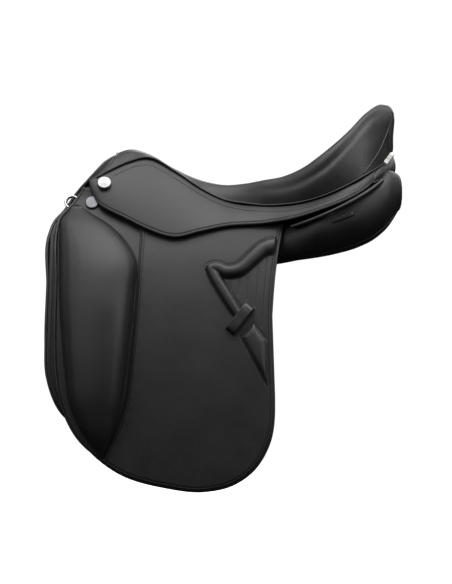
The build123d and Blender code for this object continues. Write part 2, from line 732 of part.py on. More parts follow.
# ---------------------------------------------------------------- build and write every piece
save(make_tree(), "tree_frame")
with BuildPart() as gullet_plate:
    add(arch(GULLET_STEEL, ARCH_FRONT + 2, ARCH_REAR - 2, POINT_TIP + 8))
    add(make_head_rivets(), mode=Mode.SUBTRACT)
save(gullet_plate.part, "gullet_plate")
save(make_head_rivets(), "gullet_rivets")
save_pair(make_tree_spring(), "tree_spring")
web_edge = [(-130, 20), (-60, 30), (0, 48), (60, 64), (120, 74), (180, 64), (222, 30)]
save(tree_band(0.3, 1.8, both_sides(web_edge)), "seat_web")
for place in BILLETS:
    save(make_girth_web(place), f"girth_web_{place}")
    save_pair(make_billet(place), f"billet_{place}")
save_pair(make_stirrup_bar(), "stirrup_bar")
save_pair(make_bar_rivets(), "bar_rivet")
save_pair(make_bar_catch(), "bar_catch")
whole_skirt = make_skirt()
save(make_seat_foam(), "seat_foam")
save(make_seat_cover(), "seat_cover")
save(make_pommel_facing(), "pommel_facing")
save(plan_band([(218, 88), (236, 66), (247, 36), (250, 0)], 3.0, 124.6, 137), "cantle_facing")
save(make_cantle_plate(), "cantle_plate")

save_pair(above(whole_skirt, skirt_fold), "skirt_root")
save_pair(below(whole_skirt, skirt_fold), "skirt")

whole_flap = layer(FLAP_OUTLINE, FLAP)
whole_facing = layer(FACING_OUTLINE, FACING)
head_pieces = [above(whole_flap, flap_fold),
               above(layer(FACING_OUTLINE, (FLAP[1] - 0.5, FACING[1])), flap_fold),
               above(above(make_block(0.0), fold_plane(*flap_fold_ends, NOTCH)), flap_fold)]
with BuildPart() as flap_head:
    add(head_pieces)
save_pair(flap_head.part, "flap_head")
save_pair(below(whole_flap, flap_fold), "flap")
save_pair(below(whole_facing, flap_fold, FACING_CLEARANCE), "flap_facing")

notch_foot = fold_plane(*flap_fold_ends, -NOTCH)
moving_block = below(below(make_block(0.0), notch_foot), flap_fold)
with BuildPart() as block_cover:
    add(moving_block)
    add(make_block(2.2), mode=Mode.SUBTRACT)
save_pair(block_cover.part, "block_cover")
save_pair(below(below(make_block(2.6), notch_foot, 2.5), flap_fold, 2.5), "block_core")
save_pair(below(below(make_calf_pad(), notch_foot), flap_fold), "calf_pad")
save_pair(make_keeper(), "leather_keeper")
save_pair(layer(SWEAT_FLAP_OUTLINE, SWEAT_FLAP), "sweat_flap")

panel = section_loft(PANEL)
save_pair(panel, "panel")
save(make_gullet_lining(), "gullet_lining")
save_pair(make_panel_welt(), "panel_welt")
save_pair(make_dee_ring(), "dee_ring")
save_pair(make_dee_chape(), "dee_chape")

skirt_nail_seat = Plane((-181.5, 67.5, 118.5), x_dir=(1, 0, 0), z_dir=(0, 0.85, 0.52))
save_pair(nail(skirt_nail_seat, True), "skirt_nail")
save_pair(nail(side_plane(-199.5, 87, FLAP[1] + 0.6), False), "flap_nail")

tab_sight = Axis((TAB_X, REACH, TAB_Z), (0, -1, 0))
tab_skin = max(point.Y for point, _ in panel.find_intersection_points(tab_sight))
tab_seat = Plane((TAB_X, tab_skin + 0.9, TAB_Z), x_dir=(1, -0.16, 0.28), z_dir=(0.16, 1, 0))
with BuildPart() as panel_tab:
    with BuildSketch(tab_seat):
        RectangleRounded(34, 8, 2)
    extrude(amount=1.2)
save_pair(panel_tab.part, "panel_tab")
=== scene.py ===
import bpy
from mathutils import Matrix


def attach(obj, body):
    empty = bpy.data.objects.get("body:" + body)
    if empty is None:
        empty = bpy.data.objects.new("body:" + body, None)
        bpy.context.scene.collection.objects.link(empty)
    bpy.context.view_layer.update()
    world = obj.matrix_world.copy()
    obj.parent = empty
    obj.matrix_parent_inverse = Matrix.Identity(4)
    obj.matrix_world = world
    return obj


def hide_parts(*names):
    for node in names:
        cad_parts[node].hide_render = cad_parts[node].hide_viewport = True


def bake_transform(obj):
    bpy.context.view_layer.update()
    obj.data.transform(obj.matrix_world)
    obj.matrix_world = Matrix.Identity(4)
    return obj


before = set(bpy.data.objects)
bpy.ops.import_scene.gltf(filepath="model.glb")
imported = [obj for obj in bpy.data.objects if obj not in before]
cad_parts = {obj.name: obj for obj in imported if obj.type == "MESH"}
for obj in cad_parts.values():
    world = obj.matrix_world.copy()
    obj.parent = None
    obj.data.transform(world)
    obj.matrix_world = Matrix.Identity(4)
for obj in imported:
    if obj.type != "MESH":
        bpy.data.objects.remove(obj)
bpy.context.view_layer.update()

import math

import bmesh
import bpy
import numpy as np
from mathutils import Vector
from mathutils.geometry import delaunay_2d_cdt

# A dressage saddle in black leather. Tables of sizes are in millimetres, in the frame's axes:
# front -X, up +Z, left side -Y. Meshes are made in metres.
MM = 0.001
LEFT, RIGHT = -1, 1
SIDES = (("left", LEFT), ("right", RIGHT))
LEATHER = 3.0


# ---------------------------------------------------------------- curves
def curve(xs, ys, x):
    """Smooth curve through (xs, ys), read at x. ys may have several columns."""
    xs = np.asarray(xs, float)
    ys = np.asarray(ys, float).reshape(len(xs), -1)
    h = np.diff(xs)[:, None]
    d = np.diff(ys, axis=0) / h
    inner = (d[:-1] * h[1:] + d[1:] * h[:-1]) / (h[:-1] + h[1:])
    m = np.vstack([1.5 * d[:1] - 0.5 * inner[:1], inner, 1.5 * d[-1:] - 0.5 * inner[-1:]])
    x = np.atleast_1d(np.asarray(x, float))
    i = np.clip(np.searchsorted(xs, x, side="right") - 1, 0, len(xs) - 2)
    w = h[i]
    t = (x - xs[i])[:, None] / w
    a, b = 2 * t**3 - 3 * t**2 + 1, t**3 - 2 * t**2 + t
    c, e = -2 * t**3 + 3 * t**2, t**3 - t**2
    return a * ys[i] + b * w * m[i] + c * ys[i + 1] + e * w * m[i + 1]


def through(points, spacing=3.0):
    """Points about spacing apart on a smooth curve through the given ones."""
    p = np.asarray(points, float)
    if len(p) == 2:
        count = max(2, round(float(np.linalg.norm(p[1] - p[0])) / spacing) + 1)
        return np.linspace(p[0], p[1], count)
    s = np.r_[0, np.cumsum(np.linalg.norm(np.diff(p, axis=0), axis=1))]
    return curve(s, p, np.linspace(0, s[-1], max(3, round(s[-1] / spacing) + 1)))


def chained(segments, spacing=3.0):
    """A closed outline from its segments, without repeated corners."""
    return np.vstack([through(segment, spacing)[:-1] for segment in segments])


# Half-width of the saddle's side at each height, and how much wider it gets towards the rear.
SIDE = [(-350, 195), (-310, 192.7), (-240, 186.2), (-168, 175.3), (-104, 160.9), (-38, 140), (0, 123.9),
        (34, 106), (94, 70), (140, 46), (170, 8)]
SIDE_Z, SIDE_Y = np.array(SIDE, float).T
FLARE = 0.05


def on_side(points, lift, side):
    """The saddle's side surface at (x, z) points, lifted outwards."""
    x, z = np.asarray(points, float).T
    y = curve(SIDE_Z, SIDE_Y, z)[:, 0]
    slope = curve(SIDE_Z, SIDE_Y, z + 0.5)[:, 0] - curve(SIDE_Z, SIDE_Y, z - 0.5)[:, 0]
    length = np.hypot(1, slope)
    return np.stack([x, side * (y + FLARE * x + lift / length), z - lift * slope / length], -1)


# ---------------------------------------------------------------- meshes
def make(name, verts, faces, material):
    """A smooth-shaded piece with its material and slot."""
    mesh = bpy.data.meshes.new(name)
    mesh.from_pydata((np.asarray(verts) * MM).tolist(), [], [list(map(int, f)) for f in faces])
    mesh.validate()
    mesh.shade_smooth()
    obj = bpy.data.objects.new(name, mesh)
    bpy.context.scene.collection.objects.link(obj)
    obj.data.materials.append(material)
    return obj


def outward(obj):
    """Turns every face outwards."""
    bm = bmesh.new()
    bm.from_mesh(obj.data)
    bmesh.ops.recalc_face_normals(bm, faces=bm.faces)
    bm.to_mesh(obj.data)
    bm.free()
    return obj


def grid_faces(rows, columns, wrap=False):
    """Faces of a grid of points, its columns joined end to end if wrap."""
    faces = []
    for i in range(rows - 1):
        for j in range(columns if wrap else columns - 1):
            k = (j + 1) % columns
            faces.append((i * columns + j, i * columns + k, (i + 1) * columns + k, (i + 1) * columns + j))
    return faces


def shell(name, top, back, material):
    """A closed skin between two grids of points of the same size."""
    rows, columns = top.shape[:2]
    n = rows * columns
    faces = grid_faces(rows, columns)
    faces += [tuple(n + v for v in f[::-1]) for f in grid_faces(rows, columns)]
    rim = [j for j in range(columns)] + [i * columns + columns - 1 for i in range(1, rows)]
    rim += [(rows - 1) * columns + j for j in range(columns - 2, -1, -1)]
    rim += [i * columns for i in range(rows - 2, 0, -1)]
    for a, b in zip(rim, rim[1:] + rim[:1]):
        faces.append((b, a, n + a, n + b))
    verts = np.vstack([top.reshape(-1, 3), back.reshape(-1, 3)])
    return outward(make(name, verts, faces, material))


def closed_loft(name, rings, material):
    """A body through closed rings of points, its ends capped."""
    rows, columns = rings.shape[:2]
    faces = grid_faces(rows, columns, wrap=True)
    faces.append(tuple(range(columns)))
    faces.append(tuple((rows - 1) * columns + j for j in range(columns - 1, -1, -1)))
    return outward(make(name, rings.reshape(-1, 3), faces, material))


# A tube's rounded end: how far out and how wide its last two rings are, in radii.
TUBE_END = [(0.45, 0.8), (0.8, 0.35)]


def tube(name, points, radius, material, around=12):
    """A rolled edge or piping along a path, with rounded ends."""
    p = np.asarray(points, float)
    tangent = np.gradient(p, axis=0)
    tangent /= np.linalg.norm(tangent, axis=1)[:, None]
    turn = np.linspace(0, 2 * math.pi, around, endpoint=False)
    up = np.array([0, 0, 1.0]) if abs(tangent[0][2]) < 0.9 else np.array([1.0, 0, 0])
    r = np.broadcast_to(np.asarray(radius, float), (len(p),))
    rings, side = [], np.cross(tangent[0], up)
    for i, (at, t) in enumerate(zip(p, tangent)):
        side = side - t * side.dot(t)
        side /= np.linalg.norm(side)
        circle = np.cos(turn)[:, None] * side + np.sin(turn)[:, None] * np.cross(t, side)
        sections = [(0.0, 1.0)]
        if i == 0:
            sections = [(-shift, share) for shift, share in TUBE_END[::-1]] + sections
        if i == len(p) - 1:
            sections = sections + TUBE_END
        rings += [at + r[i] * (shift * t + share * circle) for shift, share in sections]
    return closed_loft(name, np.array(rings), material)


# Along a stitch: the place as a share of its length, then its width and rise as shares of its width.
STITCH = [(-0.5, 0.35, -0.15), (-0.36, 0.9, 0.1), (0, 1, 0.16), (0.36, 0.9, 0.1), (0.5, 0.35, -0.15)]
STITCH_SIDES = 6


def stitches(name, rows, material, pitch=3.4, length=2.4, width=0.9, slant=12.0):
    """Rows of thread, each row a path of points with the surface's normals."""
    verts, faces = [], []
    turn = np.linspace(0, 2 * math.pi, STITCH_SIDES, endpoint=False)
    last = (len(STITCH) - 1) * STITCH_SIDES
    for path, normals in rows:
        path, normals = np.asarray(path, float), np.asarray(normals, float)
        s = np.r_[0, np.cumsum(np.linalg.norm(np.diff(path, axis=0), axis=1))]
        for at in np.arange(pitch / 2, s[-1], pitch):
            here = np.array([np.interp(at, s, path[:, k]) for k in range(3)])
            ahead = np.array([np.interp(min(at + 0.5, s[-1]), s, path[:, k]) for k in range(3)])
            behind = np.array([np.interp(max(at - 0.5, 0), s, path[:, k]) for k in range(3)])
            n = np.array([np.interp(at, s, normals[:, k]) for k in range(3)])
            n /= np.linalg.norm(n)
            t = ahead - behind
            t -= n * t.dot(n)
            t /= np.linalg.norm(t)
            b = np.cross(n, t)
            angle = math.radians(slant)
            cosine, sine = math.cos(angle), math.sin(angle)
            t, b = t * cosine + b * sine, b * cosine - t * sine
            base = len(verts)
            for along, share, lift in STITCH:
                centre = here + t * along * length + n * lift * width
                for a in turn:
                    verts.append(centre + (b * math.cos(a) + n * 0.8 * math.sin(a)) * share * width / 2)
            walls = grid_faces(len(STITCH), STITCH_SIDES, wrap=True)
            faces += [tuple(base + v for v in face) for face in walls]
            faces.append(tuple(base + j for j in range(STITCH_SIDES - 1, -1, -1)))
            faces.append(tuple(base + last + j for j in range(STITCH_SIDES)))
    return make(name, verts, faces, material)


def side_row(points, lift, side):
    """A stitching row on the saddle's side: its path and normals."""
    p = through(points, 2.0)
    path = on_side(p, lift, side)
    return path, on_side(p, lift + 1, side) - path


def inset(outline, distance):
    """The outline moved inwards."""
    p = np.asarray(outline, float)
    tangent = np.roll(p, -1, 0) - np.roll(p, 1, 0)
    tangent /= np.linalg.norm(tangent, axis=1)[:, None]
    area = np.sum(p[:, 0] * np.roll(p[:, 1], -1) - np.roll(p[:, 0], -1) * p[:, 1])
    inward = np.stack([-tangent[:, 1], tangent[:, 0]], -1) * (1 if area > 0 else -1)
    return p + inward * distance


def line_distance(points, line, closed=False):
    """Distance from each point to a line through many points, and the place along it."""
    a = np.asarray(line, float)
    b = np.roll(a, -1, 0) if closed else a[1:]
    a = a if closed else a[:-1]
    best, place = np.full(len(points), 1e9), np.zeros(len(points))
    for i, (p, q) in enumerate(zip(a, b)):
        d = q - p
        t = np.clip((points - p) @ d / max(d @ d, 1e-9), 0, 1)
        away = np.linalg.norm(points - p - t[:, None] * d, axis=1)
        near = away < best
        best[near] = away[near]
        place[near] = (i + t[near]) / len(a)
    return best, place


def inside(points, outline):
    """Which points are inside a closed outline."""
    x, z = points.T
    found = np.zeros(len(points), bool)
    for (x1, z1), (x2, z2) in zip(outline, np.roll(outline, -1, 0)):
        if z1 == z2:
            continue
        crosses = (z1 > z) != (z2 > z)
        found ^= crosses & (x < (x2 - x1) * (z - z1) / (z2 - z1) + x1)
    return found


FINE_PITCH = 1.7


def cut_sheet(name, outline, low, profile, side, material, relief=None, fine=None, pitch=5.0):
    """A leather sheet on the saddle's side. profile is its height above low at distances from its cut edge,
    relief adds to that at (x, z), and fine is a box (x0, x1, z0, z1) with a closer mesh."""
    depths, heights = zip(*profile)
    rings = [outline] + [inset(outline, d) for d in depths[1:]]
    x0, z0 = outline.min(0)
    x1, z1 = outline.max(0)

    def lattice(a, b, c, d, step):
        """Points in rows, each row shifted by half a step."""
        xs, zs = np.meshgrid(np.arange(a, b, step), np.arange(c, d, step * 0.866))
        xs[1::2] += step / 2
        return np.stack([xs.ravel(), zs.ravel()], -1)

    inner = lattice(x0, x1, z0, z1, pitch)
    if fine:
        low_corner, high_corner = fine[::2], fine[1::2]
        clear = ((inner < low_corner) | (inner > high_corner)).any(axis=1)
        inner = np.vstack([inner[clear], lattice(*fine, FINE_PITCH)])
    inner = inner[inside(inner, outline)]
    inner = inner[line_distance(inner, outline, closed=True)[0] > depths[-1] + 1.0]
    points = np.vstack(rings + [inner])
    edges, start = [], 0
    for ring in rings:
        n = len(ring)
        edges += [(start + i, start + (i + 1) % n) for i in range(n)]
        start += n
    flat, _, faces, *_ = delaunay_2d_cdt([Vector(p) for p in points], edges, [], 1, 1e-5)
    flat = np.array([tuple(v) for v in flat])
    away = line_distance(flat, outline, closed=True)[0]
    height = np.interp(away, depths, heights)
    if relief:
        height += relief(flat[:, 0], flat[:, 1]) * np.clip(away / 2.0, 0, 1)
    top = on_side(flat, low + height, side)
    back = on_side(flat, np.full(len(flat), float(low)), side)
    n = len(flat)
    count = {}
    for f in faces:
        for a, b in zip(f, list(f[1:]) + [f[0]]):
            count[(a, b)] = count.get((a, b), 0) + 1
    walls = [(b, a, n + a, n + b) for (a, b) in count if (b, a) not in count]
    all_faces = [tuple(f) for f in faces] + [tuple(n + v for v in f[::-1]) for f in faces] + walls
    return outward(make(name, np.vstack([top, back]), all_faces, material))


# ---------------------------------------------------------------- materials
def material(name, roughness, metallic=0.0, specular=0.5):
    """A new material, with its nodes, links and shader."""
    m = bpy.data.materials.new(name)
    m.use_nodes = True
    shader = m.node_tree.nodes["Principled BSDF"]
    shader.inputs["Roughness"].default_value = roughness
    shader.inputs["Metallic"].default_value = metallic
    shader.inputs["Specular IOR Level"].default_value = specular
    return m, m.node_tree.nodes, m.node_tree.links, shader


def noise(nodes, links, where, scale, detail=4.0, roughness=0.55):
    """Cloudy noise read at a place."""
    n = nodes.new("ShaderNodeTexNoise")
    n.inputs["Scale"].default_value = scale
    n.inputs["Detail"].default_value = detail
    n.inputs["Roughness"].default_value = roughness
    links.new(where, n.inputs["Vector"])
    return n.outputs["Fac"]


def ramp(nodes, links, source, stops):
    """A colour between two stops, chosen by the source."""
    r = nodes.new("ShaderNodeValToRGB")
    for element, (position, colour) in zip(r.color_ramp.elements, stops):
        element.position = position
        element.color = (*colour, 1)
    links.new(source, r.inputs["Fac"])
    return r.outputs["Color"]


def spread(nodes, links, source, low, high, start=0.3, end=0.7):
    """The source's middle range as a value from low to high."""
    n = nodes.new("ShaderNodeMapRange")
    n.inputs["From Min"].default_value = start
    n.inputs["From Max"].default_value = end
    n.inputs["To Min"].default_value = low
    n.inputs["To Max"].default_value = high
    links.new(source, n.inputs["Value"])
    return n.outputs["Result"]


def bump(nodes, links, shader, layers):
    """Bumps in turn, each with its source, its height in metres and its strength."""
    before = None
    for source, height, strength in layers:
        b = nodes.new("ShaderNodeBump")
        b.inputs["Distance"].default_value = height
        b.inputs["Strength"].default_value = strength
        links.new(source, b.inputs["Height"])
        if before:
            links.new(before, b.inputs["Normal"])
        before = b.outputs["Normal"]
    links.new(before, shader.inputs["Normal"])


def leather(name, dark, light, roughness, grain=900.0, depth=0.00012, specular=0.5):
    """Dyed, finished cowhide: fine pebbled grain, soft mottling, and slightly polished high spots."""
    m, nodes, links, shader = material(name, roughness, specular=specular)
    where = nodes.new("ShaderNodeTexCoord").outputs["Object"]
    cells = nodes.new("ShaderNodeTexVoronoi")
    cells.feature = "DISTANCE_TO_EDGE"
    cells.inputs["Scale"].default_value = grain
    cells.inputs["Randomness"].default_value = 1.0
    links.new(where, cells.inputs["Vector"])
    pebbles = spread(nodes, links, cells.outputs["Distance"], 0, 1, 0.0, 0.25)
    mottle = noise(nodes, links, where, 18.0, 5.0)
    fine = noise(nodes, links, where, grain * 0.45, 3.0)
    waves = noise(nodes, links, where, 45.0, 3.0)
    links.new(ramp(nodes, links, mottle, [(0.3, dark), (0.75, light)]), shader.inputs["Base Color"])
    wear = nodes.new("ShaderNodeMath")
    wear.operation = "MULTIPLY_ADD"
    wear.inputs[1].default_value = 0.10
    links.new(pebbles, wear.inputs[0])
    links.new(spread(nodes, links, mottle, roughness - 0.02, roughness + 0.06), wear.inputs[2])
    rough = nodes.new("ShaderNodeMath")
    rough.operation = "SUBTRACT"
    rough.inputs[1].default_value = 0.06
    links.new(wear.outputs[0], rough.inputs[0])
    links.new(rough.outputs[0], shader.inputs["Roughness"])
    bump(nodes, links, shader, [(waves, 0.0012, 0.22), (fine, depth, 0.5), (pebbles, depth, 0.6)])
    return m


def metal(name, colour, roughness, scale=300.0, stretch=(1, 1, 1)):
    """Polished or worn metal with fine scratches in its finish."""
    m, nodes, links, shader = material(name, roughness, metallic=1.0)
    coord = nodes.new("ShaderNodeTexCoord").outputs["Object"]
    place = nodes.new("ShaderNodeMapping")
    place.inputs["Scale"].default_value = stretch
    links.new(coord, place.inputs["Vector"])
    where = place.outputs["Vector"]
    cloud = noise(nodes, links, where, scale * 0.2)
    fine = noise(nodes, links, where, scale * 4, 2.0)
    light = tuple(min(1.0, c * 1.08) for c in colour)
    links.new(ramp(nodes, links, cloud, [(0.3, tuple(c * 0.88 for c in colour)), (0.7, light)]),
              shader.inputs["Base Color"])
    links.new(spread(nodes, links, cloud, roughness * 0.75, roughness * 1.4), shader.inputs["Roughness"])
    bump(nodes, links, shader, [(fine, 0.00004, 0.4)])
    return m


def wood(name):
    """Laminated beech: grain lines along the tree."""
    m, nodes, links, shader = material(name, 0.42)
    coord = nodes.new("ShaderNodeTexCoord").outputs["Object"]
    place = nodes.new("ShaderNodeMapping")
    place.inputs["Scale"].default_value = (6, 60, 60)
    links.new(coord, place.inputs["Vector"])
    grain = noise(nodes, links, place.outputs["Vector"], 4.0, 8.0, 0.65)
    ply = nodes.new("ShaderNodeTexWave")
    ply.bands_direction = "Z"
    ply.inputs["Scale"].default_value = 90.0
    ply.inputs["Distortion"].default_value = 1.5
    links.new(coord, ply.inputs["Vector"])
    links.new(ramp(nodes, links, grain, [(0.35, (0.035, 0.020, 0.010)), (0.65, (0.085, 0.050, 0.026))]),
              shader.inputs["Base Color"])
    bump(nodes, links, shader, [(grain, 0.0004, 0.4), (ply.outputs["Fac"], 0.0002, 0.3)])
    return m


def webbing(name, colour):
    """Woven nylon or jute tape: a herringbone of ribs across and along."""
    m, nodes, links, shader = material(name, 0.8, specular=0.25)
    coord = nodes.new("ShaderNodeTexCoord").outputs["Object"]
    ribs = []
    for direction in ("X", "Y"):
        w = nodes.new("ShaderNodeTexWave")
        w.bands_direction = direction
        w.inputs["Scale"].default_value = 260.0
        w.inputs["Distortion"].default_value = 0.4
        links.new(coord, w.inputs["Vector"])
        ribs.append(w.outputs["Fac"])
    both = nodes.new("ShaderNodeMath")
    both.operation = "MULTIPLY"
    links.new(ribs[0], both.inputs[0])
    links.new(ribs[1], both.inputs[1])
    links.new(ramp(nodes, links, both.outputs[0], [(0.0, tuple(c * 0.55 for c in colour)), (0.8, colour)]),
              shader.inputs["Base Color"])
    bump(nodes, links, shader, [(both.outputs[0], 0.0005, 0.7)])
    return m


def thread(name):
    """Waxed black thread, its two plies twisted."""
    m, nodes, links, shader = material(name, 0.9, specular=0.06)
    coord = nodes.new("ShaderNodeTexCoord").outputs["Object"]
    twist = nodes.new("ShaderNodeTexWave")
    twist.bands_direction = "DIAGONAL"
    twist.inputs["Scale"].default_value = 900.0
    links.new(coord, twist.inputs["Vector"])
    stops = [(0.2, (0.004, 0.004, 0.004)), (0.9, (0.014, 0.014, 0.014))]
    links.new(ramp(nodes, links, twist.outputs["Fac"], stops), shader.inputs["Base Color"])
    bump(nodes, links, shader, [(twist.outputs["Fac"], 0.0001, 0.6)])
    return m


SEAT_LEATHER = leather("Seat_leather", (0.012, 0.012, 0.012), (0.020, 0.020, 0.020), 0.42, 1000, 0.00008)
FLAP_LEATHER = leather("Flap_leather", (0.010, 0.010, 0.010), (0.017, 0.017, 0.017), 0.44, 800, 0.00012)
BLOCK_LEATHER = leather("Block_leather", (0.010, 0.010, 0.010), (0.016, 0.016, 0.016), 0.46, 1000, 0.00009)
LINING_LEATHER = leather("Panel_leather", (0.008, 0.008, 0.008), (0.014, 0.014, 0.014), 0.48, 900, 0.0001)
BILLET_LEATHER = leather("Billet_leather", (0.010, 0.009, 0.008), (0.020, 0.018, 0.016), 0.5, 700, 0.00016)
EDGE_LEATHER = leather("Edge_leather", (0.012, 0.012, 0.012), (0.020, 0.020, 0.020), 0.31, 1000, 0.00008)
THREAD = thread("Waxed_thread")
CHROME = metal("Polished_chrome", (0.55, 0.55, 0.56), 0.24)
NAIL = metal("Chromed_nail", (0.40, 0.40, 0.41), 0.40)
PLATE = metal("Satin_plate", (0.62, 0.62, 0.61), 0.32, 300, (1, 6, 1))
DULL_NAIL = metal("Dull_nail", (0.20, 0.20, 0.21), 0.44)
STEEL = metal("Spring_steel", (0.34, 0.35, 0.38), 0.36, 220, (5, 1, 1))
BAR_STEEL = metal("Forged_bar_steel", (0.62, 0.62, 0.63), 0.28)
WOOD = wood("Laminated_beech")
WEB = webbing("Jute_webbing", (0.50, 0.42, 0.28))

CAD_MATERIALS = [
    ("tree_frame", WOOD), ("gullet_plate", STEEL), ("gullet_rivets", BAR_STEEL), ("seat_web", WEB),
    ("girth_web", WEB), ("cantle_plate", PLATE), ("gullet_lining", LINING_LEATHER),
    ("tree_spring", STEEL), ("stirrup_bar", BAR_STEEL), ("bar_rivet", BAR_STEEL), ("bar_catch", BAR_STEEL),
    ("dee_chape", FLAP_LEATHER), ("dee_ring", CHROME), ("skirt_nail", NAIL), ("flap_nail", DULL_NAIL),
    ("panel_welt", EDGE_LEATHER), ("billet", BILLET_LEATHER),
]
for name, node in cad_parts.items():
    for start, chosen in CAD_MATERIALS:
        if name.startswith(start):
            node.data.materials.clear()
            node.data.materials.append(chosen)

# ---------------------------------------------------------------- seat
# Along the seat: x, seam half-width and height, rim half-width and height, height in the middle.
SEAT = [(-192, 56, 127, 40, 144, 148), (-165, 46, 142, 28, 158, 163), (-144, 39, 151, 22, 166, 170),
        (-114, 34, 157, 21, 161, 163), (-75, 42, 136, 28, 140, 140), (-37, 53, 111, 38, 122, 124),
        (0, 66, 93, 52, 114, 116), (30, 75, 88, 62, 116, 113.5), (60, 85, 85, 76, 121, 114),
        (88, 94, 86, 86, 126, 117), (117, 102, 90, 95, 139, 125), (145, 108, 98, 97, 160, 136),
        (184, 108, 115, 80, 195, 168), (212, 98, 131, 46, 224.5, 207), (232, 74, 143, 24, 237, 234),
        (249, 36, 156, 20, 236, 236)]
SEAT_X = [row[0] for row in SEAT]
ACROSS = 81
# The cantle's domed back, ring by ring: size as a share of the last section, and how far out it is.
CANTLE_DOME = [(0.985, 1.6), (0.95, 3.0), (0.88, 4.2), (0.75, 5.2), (0.55, 5.8), (0.3, 6.2), (0.1, 6.3)]
HEAD_X, HEAD_LONG, HEAD_WIDE = -205.0, 43.0, 58.7


def seat_section(x):
    """The seat's surface across one place, from the right seam to the left."""
    sy, sz, ry, rz, mid = curve(SEAT_X, [row[1:] for row in SEAT], x)[0]
    wall = ((sy + ry) / 2 + 0.1 * (rz - sz), (sz + rz) / 2)
    dip = (ry / 2, (rz + mid) / 2 - 0.06 * (rz - mid))
    right = [(sy, sz + 1), wall, (ry, rz), dip, (0, mid)]
    p = np.array(right + [(-y, z) for y, z in right[-2::-1]], float)
    s = np.r_[0, np.cumsum(np.linalg.norm(np.diff(p, axis=0), axis=1))]
    u = (1 - np.cos(np.linspace(0, math.pi, ACROSS))) / 2 * 0.35 + np.linspace(0, 1, ACROSS) * 0.65
    section = curve(s, p, u * s[-1])
    share = np.interp(x, [60, 95, 150, 185, 218], [0.33, 0.36, 0.34, 0.24, 0.15])
    depth = np.interp(x, [40, 95, 160, 215, 240], [0, 1.6, 3.2, 2.6, 0])
    crease = rz - share * (rz - sz)
    outer = np.abs(section[:, 0]) > ry * 0.8
    pull = depth * np.exp(-(((section[:, 1] - crease) / 5.5) ** 2)) * outer
    section[:, 0] -= np.sign(section[:, 0]) * pull * 0.9
    section[:, 1] -= pull * 0.45
    return section


def cantle_lean(points):
    """How far the back of the cantle leans out or in with height."""
    near = np.clip((points[..., 0] - 222) / 27, 0, 1)
    lean = np.interp(points[..., 2], [150, 171, 185, 198, 213, 225, 230, 236],
                     [0, -1.2, -1.8, -1.0, 0.8, 0.3, -1.2, -4])
    return lean * near * near * (3 - 2 * near)


def make_seat():
    """The seat's cover: a grid from the cut-back head to the cantle, and with the cantle's domed back."""
    stations = np.linspace(-200, 249, 150)
    table = np.array([seat_section(x) for x in stations])
    rows = 140
    points = np.zeros((rows, ACROSS, 3))
    for j in range(ACROSS):
        front = -192.0
        for _ in range(8):
            y = np.interp(front, stations, table[:, j, 0])
            front = HEAD_X + HEAD_LONG * math.sqrt(max(0.0, 1 - (y / HEAD_WIDE) ** 2))
        u = np.linspace(0, 1, rows)
        x = front + (249 - front) * (u * 0.85 + 0.15 * np.sin(u * math.pi / 2))
        points[:, j, 0] = x
        points[:, j, 1] = np.interp(x, stations, table[:, j, 0])
        points[:, j, 2] = np.interp(x, stations, table[:, j, 1])
    last = points[-1]
    centre = np.array([249.0, 0, 190.0])
    dome = []
    for share, out in CANTLE_DOME:
        ring = centre + (last - centre) * share
        ring[:, 0] += out
        ring[:, 2] = np.maximum(ring[:, 2], 157)
        dome.append(ring)
    whole = np.vstack([points, dome])
    whole[..., 0] += cantle_lean(whole)
    return whole[:rows], whole


seat_points, seat_all = make_seat()


def seat_normals(points):
    du, dv = np.gradient(points, axis=0), np.gradient(points, axis=1)
    n = np.cross(du, dv)
    n /= np.maximum(np.linalg.norm(n, axis=2), 1e-9)[..., None]
    return n * np.where(n[..., 2:3].mean() < 0, -1, 1)


normals = seat_normals(seat_all)
seat = shell("Seat", seat_all, seat_all - normals * 2.6, SEAT_LEATHER)
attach(seat, "root")
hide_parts("seat_cover", "seat_foam")

# The leather lining of the cut-back head, under a rolled edge that follows the seat's front.
front_edge = seat_points[0]
lining_top = np.array([p for p in front_edge if abs(p[1]) < 50])
steps = np.linspace(0, 1, 8)[:, None, None]
floor_z = np.array([p * [1, 1, 0] + [0, 0, 121.0] for p in lining_top])
front = lining_top[None] * (1 - steps) + floor_z[None] * steps
head_lining = shell("Pommel_lining", front, front + [2.0, 0, 0], LINING_LEATHER)
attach(head_lining, "root")
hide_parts("pommel_facing")
head_roll = tube("Pommel_piping", front_edge[::2] + [0, 0, -0.4], 1.7, EDGE_LEATHER)
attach(head_roll, "root")

for word, side in SIDES:
    seam = seat_points[:, 0 if side == RIGHT else -1]
    welt = tube(f"Seat_welt_{word}", seam[1::2] + [0, side * 0.6, -0.4], 1.5, EDGE_LEATHER)
    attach(welt, "root")
    near = seam[:46] + [0, side * 1.6, 0.4]
    face = np.tile([0, side * 0.8, 0.6], (len(near), 1))
    sewn = stitches(f"Seat_seam_thread_{word}", [(near, face)], THREAD, 3.6, 3.0, 0.9, 55)
    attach(sewn, "root")


def seat_wall(x, z, side):
    """The point of the seat's outer wall at a place and height."""
    section = seat_section(x)
    half = section[: ACROSS // 2]
    low = half[: int(np.argmax(half[:, 1])) + 1]
    point = np.array([x, side * np.interp(z, low[:, 1], low[:, 0]), z])
    point[0] += cantle_lean(point)
    return point


CANTLE_SEAM = [(249.5, 222), (249, 212), (246.5, 199), (241, 184), (234, 170), (221, 150), (208, 133)]
for word, side in SIDES:
    path = [seat_wall(x - 0.5, z, side) for x, z in through(CANTLE_SEAM, 6.0)]
    path = through(np.array(path) + [0.4, side * 0.4, 0], 3.0)
    piping = tube(f"Cantle_piping_{word}", path, 1.1, EDGE_LEATHER)
    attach(piping, "root")

